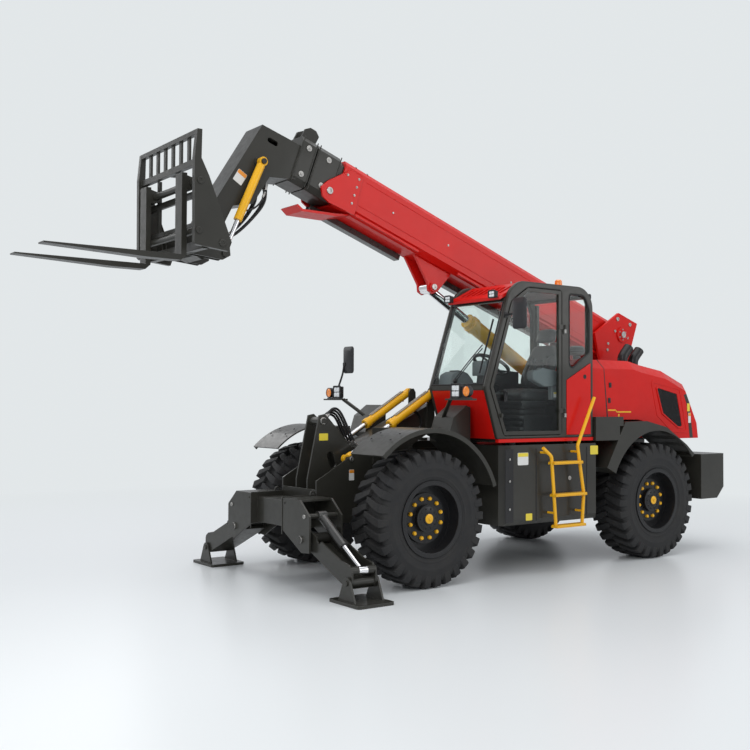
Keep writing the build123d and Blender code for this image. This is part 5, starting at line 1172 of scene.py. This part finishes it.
# Boom: welds, flanges, pin heads, collars, hose track and hoses
BOOM_ALONG = on_boom(1, 0, 0) - on_boom(0, 0, 0)
BOOM_UP = on_boom(0, 1, 0) - on_boom(0, 0, 0)
TRAY_Y = (-0.182, -0.098)
TOWER_PINS = [
    # x, z and radius
    (-2.067, 2.791, 0.026), (-2.298, 2.733, 0.024), (-2.019, 2.64, 0.017),
    (-2.249, 2.565, 0.017), (-1.887, 2.481, 0.017), (-1.877, 2.404, 0.017),
]
LEVEL_TOP, LEVEL_FOOT, LEVEL_Y = Vector((0.85, 0, 1.865)), Vector((1.99, 0, 1.185)), 0.215


def boom_bar(kit, s, t, y):
    """Box in the boom's own directions."""
    section = ((s[0], t[0]), (s[1], t[0]), (s[1], t[1]), (s[0], t[1]))
    corners = [on_boom(a, b, side) for a, b in section for side in y]
    kit.faces(corners, [(0, 2, 4, 6), (1, 7, 5, 3), (0, 1, 3, 2), (2, 3, 5, 4), (4, 5, 7, 6), (6, 7, 1, 0)])


def build_boom_details():
    sides = ((1, BOOM_Y), (-1, -BOOM_Y))
    welds, flanges, bolts = Kit("boom_welds"), Kit("boom_flanges"), Kit("boom_bolts")
    for hand, y in sides:
        for t in (-0.245, 0.02):
            welds.tube([on_boom(0.1, t, y), on_boom(4.12, t, y)], 0.0032, 6)
        shoulder = ((4.18, 0.04), (4.33, 0.06), (4.56, -0.19))
        welds.tube([on_boom(s, t, y + hand * 0.02) for s, t in shoulder], 0.0025, 6, 1)
        for s in ((0.2, 2.68), (3.26, 4.14)):
            boom_bar(flanges, s, (-0.372, -0.345), (y, y + hand * 0.016))
        for s, t in ((4.22, 0.0), (4.22, -0.09), (4.22, -0.18), (4.22, -0.27), (4.36, -0.02)):
            bolts.bolt(on_boom(s, t, hand * 0.2), (0, hand, 0), 0.009, 0.01)
        for s in (0.55, 0.95, 1.9, 2.9, 3.7):
            bolts.bolt(on_boom(s, -0.12, y), (0, hand, 0), 0.008, 0.008)
    for s in (4.1, 4.25):
        for y in (-0.12, 0.0, 0.12):
            bolts.bolt(on_boom(s, 0.13, y), BOOM_UP, 0.009, 0.01)
    welds.done(RED, "boom")
    flanges.done(RED, "boom", 0.003)
    heads = Kit("boom_pin_heads")
    pin_pairs(heads, [(2.186, 0.2, 3.848, 0.036, 0.012), (0.768, 0.12, 2.997, 0.034, 0.012)])
    heads.done(SILVER, "boom")
    bolts.done(SILVER, "boom")
    for stage, start, end in ((2, 4.46, 4.745), (3, 4.76, 4.94)):
        bolts, edges = Kit("collar_bolts_%d" % stage), Kit("collar_edges_%d" % stage)
        for hand in (1, -1):
            for t in (0.02, -0.26):
                pin_head(bolts, on_boom((start + end) / 2, t, hand * COLLAR_Y), (0, hand, 0), 0.03, 0.008)
                bolts.bolt(on_boom((start + end) / 2, t, hand * 0.183), (0, hand, 0), 0.013, 0.008)
            for s in (start + 0.012, end - 0.012):
                edges.tube([on_boom(s, 0.118, hand * COLLAR_Y), on_boom(s, -0.358, hand * COLLAR_Y)], 0.006, 8)
        bolts.done(SILVER, "stage_%d" % stage, 0.001)
        edges.done(DARK, "stage_%d" % stage)
    track = Kit("hose_track")
    for first, count in ((3.3, 50), (0.62, 84)):
        for index in range(count):
            place = on_boom(first + 0.024 * index, -0.402, -0.14)
            slab(track, place, BOOM_ALONG, BOOM_UP, 0.0105, 0.024, -0.035, 0.035, 0.004, 2)
    track.done(PLASTIC, "boom")
    tray = Kit("hose_tray")
    for s in ((3.28, 4.5), (0.6, 2.66)):
        boom_bar(tray, s, (-0.436, -0.428), TRAY_Y)
        for y in TRAY_Y:
            boom_bar(tray, s, (-0.436, -0.376), (y - 0.003, y + 0.003))
    tray.done(GREY, "boom", 0.001)
    tower = Kit("tower_bolts")
    pin_pairs(tower, [(x, 0.25, z, radius, 0.01) for x, z, radius in TOWER_PINS])
    pivot_x, pivot_z = BOOM_PIVOT
    pin_pairs(tower, [(pivot_x, 0.275, pivot_z, 0.04, 0.01)])
    for hand in (1, -1):
        for index in range(6):
            angle = math.radians(60 * index + 30)
            place = (pivot_x + 0.062 * math.cos(angle), hand * 0.265, pivot_z + 0.062 * math.sin(angle))
            tower.bolt(place, (0, hand, 0), 0.007, 0.006)
    tower.done(SILVER)


def fitting(kit, end, toward, radius):
    """Crimped hose end: a hexagon nut and a sleeve."""
    kit.disc(end, toward, radius * 1.5, 0, 0.022, 6)
    sleeve = [(0, 0.02), (radius * 1.25, 0.02), (radius * 1.3, 0.045), (radius * 1.15, 0.062), (0, 0.062)]
    kit.turned(sleeve, end, toward, 16)


def hose_run(name, runs, body, radius):
    kit, ends = Kit(name), Kit(name + "_ends")
    for points in runs:
        kit.tube(points, radius, 10, 8)
        points = [Vector(p) for p in points]
        fitting(ends, points[0], points[1] - points[0], radius)
        fitting(ends, points[-1], points[-2] - points[-1], radius)
    kit.done(HOSE, body)
    ends.done(SILVER, body, 0.0008)


def build_hoses():
    hose_run("nose_hoses", [
        [(2.12, y, 1.58), (2.04, y, 1.625 + lift), (1.94, y, 1.59 + lift), (1.83, y * 1.5, 1.42), (1.76, y * 1.7, 1.3)]
        for y, lift in ((-0.05, 0.0), (-0.018, 0.018), (0.018, 0.036), (0.05, 0.054))
    ], "chassis", 0.012)
    hose_run("neck_hoses", [
        [(2.86, y, 3.84), (2.88, y, 3.7 - drop), (3.0, y, 3.5), (3.18, y, 3.33), (3.33, y, 3.26)]
        for y, drop in ((-0.11, 0.0), (-0.075, 0.012), (0.075, 0.024), (0.11, 0.036))
    ], "stage_3", 0.012)
    side = [(2.905, 0.165, 3.745), (2.96, 0.175, 3.64), (3.06, 0.185, 3.56), (3.19, 0.175, 3.53)]
    hose_run("neck_side_hose", [side], "stage_3", 0.009)
    along = (LEVEL_FOOT - LEVEL_TOP).normalized()
    below = Vector((along.z, 0, -along.x))
    for hand, tag in ((1, "left"), (-1, "right")):
        pipes = Kit("levelling_pipes_" + tag)
        for off in (-0.016, 0.016):
            start = LEVEL_TOP + along * 0.08 - below * 0.052 + Vector((0, hand * LEVEL_Y + off, 0))
            pipes.tube([start, start + along * 0.5], 0.0065, 8)
        pipes.done(SILVER)
    hose_run("levelling_hoses", [
        [(1.2, y, 1.61), (1.06, y, 1.655), (0.98, y, 1.56), (0.99, y - 0.02, 1.42)] for y in (0.13, 0.165)
    ], "chassis", 0.01)


# Levelling cylinders in place of the plain ones: yellow barrels and chrome rods
LEVEL_BARREL = [
    (0, 0.03), (0.043, 0.03), (0.045, 0.036), (0.045, 0.625), (0.05, 0.63),
    (0.053, 0.634), (0.053, 0.686), (0.05, 0.69), (0.03, 0.69),
]
LEVEL_EYE = [(0, -0.025), (0.038, -0.025), (0.04, -0.023), (0.04, 0.023), (0.038, 0.025), (0, 0.025)]


def build_levelling():
    along, reach = (LEVEL_FOOT - LEVEL_TOP).normalized(), (LEVEL_FOOT - LEVEL_TOP).length
    barrels, rods, ends = Kit("levelling_barrels"), Kit("levelling_rods"), Kit("levelling_eyes")
    for hand in (1, -1):
        start = LEVEL_TOP + Vector((0, hand * LEVEL_Y, 0))
        barrels.turned(LEVEL_BARREL, start, along, 40)
        barrels.turned(LEVEL_EYE, start, Y, 32)
        for share in (0.1, 0.6):
            barrels.disc(start + along * share - Vector((0, 0, 0.042)), (0, 0, -1), 0.014, 0, 0.016, 12)
        rods.disc(start, along, 0.026, 0.66, reach - 0.06, 36)
        shank = ((0, 0.085), (0.03, 0.085), (0.034, 0.06), (0.034, 0.028), (0, 0.028))
        ends.turned([(radius, reach - short) for radius, short in shank], start, along, 32)
        ends.turned(LEVEL_EYE, LEVEL_FOOT + Vector((0, hand * LEVEL_Y, 0)), Y, 32)
    barrels.done(YELLOW, replaces=("levelling_cylinders",), slot="yellow_paint")
    rods.done(CHROME, slot="chrome")
    ends.done(YELLOW, slot="yellow_paint")


# Stabiliser, nose, carriage and boxes: pin heads, bolts, latches and tail lamps
# Each pin: x, y, z, radius and height
STABILISER_PINS = [(2.775, 0.63, 0.486, 0.034, 0.016), (2.77, 0.69, 0.7, 0.02, 0.01)]
NOSE_PINS = [(2.19, 0.11, 1.56, 0.036, 0.014), (1.99, 0.32, 1.185, 0.024, 0.01)]
REAR_PINS = [(-2.99, 0.35, 0.76, 0.03, 0.008), (-2.99, 0.35, 1.01, 0.03, 0.008)]
CARRIAGE_PINS = [(3.808, 0.62, 3.66, 0.032, 0.01), (3.82, 0.62, 3.225, 0.03, 0.01), (3.59, 0.62, 3.135, 0.034, 0.01)]


def build_front_details():
    seams, fenders, latches = Kit("stabiliser_seams"), Kit("fender_bolts"), Kit("side_box_latches")
    for hand in (1, -1):
        seams.box((2.769, 2.776), sorted((hand * 0.292, hand * 0.304)), (0.5, 0.842))
        seams.box((2.402, 2.772), sorted((hand * 0.292, hand * 0.308)), (0.8445, 0.853))
        seams.bolt((2.7705, hand * 0.34, 0.8), X, 0.01, 0.008)
        angles = [math.radians(degrees) for degrees in range(0, 181, 20)]
        eye = [(2.45 + 0.03 * math.cos(a), hand * 0.33, 0.845 + 0.045 * math.sin(a)) for a in angles]
        seams.tube(eye, 0.008, 10, 1)
        for degrees in (60, 68, 100, 130):
            angle = math.radians(degrees)
            out = Vector((math.cos(angle), 0, math.sin(angle)))
            for y in (0.78, 1.08):
                centre = Vector((AXLE_X, hand * y, AXLE_Z)) + out * 0.87
                profile = [(0, -0.002), (0.011, -0.002), (0.01, 0.004), (0.005, 0.006), (0, 0.006)]
                fenders.turned(profile, centre, out, 16)
        for x, z, size in ((-0.231, 0.961, 1.0), (0.64, 0.96, 0.55), (0.64, 1.18, 0.55), (0.64, 0.68, 0.55)):
            rise = 0.004 if size < 1 else 0
            shares = ((0, -0.001), (0.022, -0.001), (0.022, 0.004), (0.014, 0.007), (0, 0.007))
            profile = [(radius * size, rise + high) for radius, high in shares]
            latches.turned(profile, (x, hand * BOX_Y, z), (0, hand, 0), 24)
    pin_group("stabiliser_pins", STABILISER_PINS, SILVER, X)
    seams.done(DARK, bevel=0.002)
    pin_group("nose_pin_heads", NOSE_PINS, SILVER)
    fenders.done(BLACK)
    boxes = Kit("side_box_details")
    for x, half in ((0.644, 0.056), (-0.496, 0.006), (0.262, 0.006)):
        slab(boxes, (x, BOX_Y, 0.915), *LEFT, half, 0.37, -0.001, 0.0035, 0.001)
        slab(boxes, (x, -BOX_Y, 0.915), *RIGHT, half, 0.37, -0.001, 0.0035, 0.001)
    boxes.done(BLACK, bevel=0.001)
    latches.done(SILVER)
    pin_group("counterweight_details", REAR_PINS, DARK, (-1, 0, 0))
    for hand, tag in ((1, "left"), (-1, "right")):
        kit = Kit("tail_lamp_" + tag)
        slab(kit, (-2.99, hand * 0.88, 0.985), *BEHIND, 0.15, 0.055, -0.002, 0.003, 0.02)
        kit.done(PLASTIC, bevel=0.001)
        cells = ((REDLAMP, 0.055, 0.08), (AMBER, 0.04, -0.025), (WHITE_LAMP, 0.028, -0.105))
        for index, (material, wide, offset) in enumerate(cells):
            cell = Kit("tail_lamp_cell_%s_%d" % (tag, index))
            place = (-2.99, hand * (0.88 + offset), 0.985)
            slab(cell, place, *BEHIND, wide, 0.042, 0.001, 0.0048, 0.012, 4, 0.95)
            cell.done(material, bevel=0.001)


def build_ladder_treads():
    kit = Kit("ladder_tread_grips")
    teeth, low, high, tip = 22, -0.012, 0.01, 0.019
    near, far = 1.2105, 1.2835
    for x0, x1, z in ((-0.33, 0.105, 0.48), (-0.35, 0.125, 0.8), (-0.29, 0.15, 1.13)):
        outline = [(x0, z + low), (x1, z + low)]
        for index in range(teeth, -1, -1):
            x = x0 + (x1 - x0) * index / teeth
            outline.append((x, z + high))
            if index:
                outline.append((x - (x1 - x0) / teeth / 2, z + tip))
        for y in (near, far):
            kit.prism(outline, "y", y, y + 0.006)
        for a, b in ((x0 - 0.001, x0 + 0.004), (x1 - 0.004, x1 + 0.001)):
            kit.prism([(a, z + low), (b, z + low), (b, z + high), (a, z + high)], "y", near, far + 0.006)
    kit.done(YELLOW, angle=20)


# Cap of the tank, exhaust stacks and air cleaner
TANK_CAP = [
    (0, -0.001), (0.06, -0.001), (0.06, 0.01), (0.052, 0.014), (0.052, 0.03),
    (0.046, 0.036), (0.02, 0.036), (0.016, 0.03), (0, 0.03),
]
AIR_CLEANER = [
    (0, 0), (0.05, 0), (0.05, 0.008), (0.04, 0.012), (0.04, 0.055), (0.09, 0.064), (0.095, 0.072), (0.095, 0.084),
    (0.091, 0.088), (0.091, 0.1), (0.095, 0.104), (0.095, 0.112), (0.091, 0.116), (0.091, 0.126), (0.086, 0.15),
    (0.06, 0.166), (0, 0.1695),
]


def build_panel_details():
    kit = Kit("tank_cap")
    kit.turned(TANK_CAP, (0.35, -0.9, 1.32), Z, 36)
    kit.done(PLASTIC)
    recess = Kit("panel_recess")
    profile = [(0, 0.0005), (0.016, 0.0005), (0.018, 0.003), (0.024, 0.003), (0.024, -0.002), (0, -0.002)]
    recess.turned(profile, (-0.468, 1.1498, 2.031), Y, 28)
    recess.done(BLACK)


def build_stacks():
    stacks, mouths = Kit("exhaust_stacks"), Kit("exhaust_mouths")
    y = 0.56
    for x in (-1.79, -1.98):
        foot = 2.13 + (x + 2.0) * (2.19 - 2.13) / 0.4
        rise = ((0, 0.01), (0, 0.12), (-0.03, 0.175), (-0.112, 0.258))
        stacks.tube([(x + back, y, foot + up) for back, up in rise], 0.0605, 28, 8)
        collar = [(0.0605, 0), (0.07, 0), (0.072, 0.01), (0.0605, 0.016)]
        stacks.turned(collar, (x, y, foot + 0.02), Z, 32)
        mouths.disc((x - 0.112, y, foot + 0.258), (-0.7, 0, 0.71), 0.052, 0, 0.0012, 28)
    stacks.done(BLACK, replaces=("exhausts",))
    mouths.done(HOSE)
    cleaner = Kit("air_cleaner")
    cleaner.turned(AIR_CLEANER, (-0.9, 0.64, 2.2303), Z, 44)
    cleaner.done(PLASTIC)


for end, axle_x in (("front", AXLE_X), ("rear", -AXLE_X)):
    for side, hand in (("left", 1), ("right", -1)):
        build_tyre(end + "_" + side, axle_x, hand)
        build_wheel_fittings(end + "_" + side, axle_x, hand)
build_cab()
build_lamps()
build_chair()
build_cab_fittings()
build_hood_details()
build_plates()
build_boom_details()
build_hoses()
build_levelling()
build_front_details()
build_ladder_treads()
build_panel_details()
pin_group("carriage_pins", CARRIAGE_PINS, DARK, body="carriage")
build_stacks()
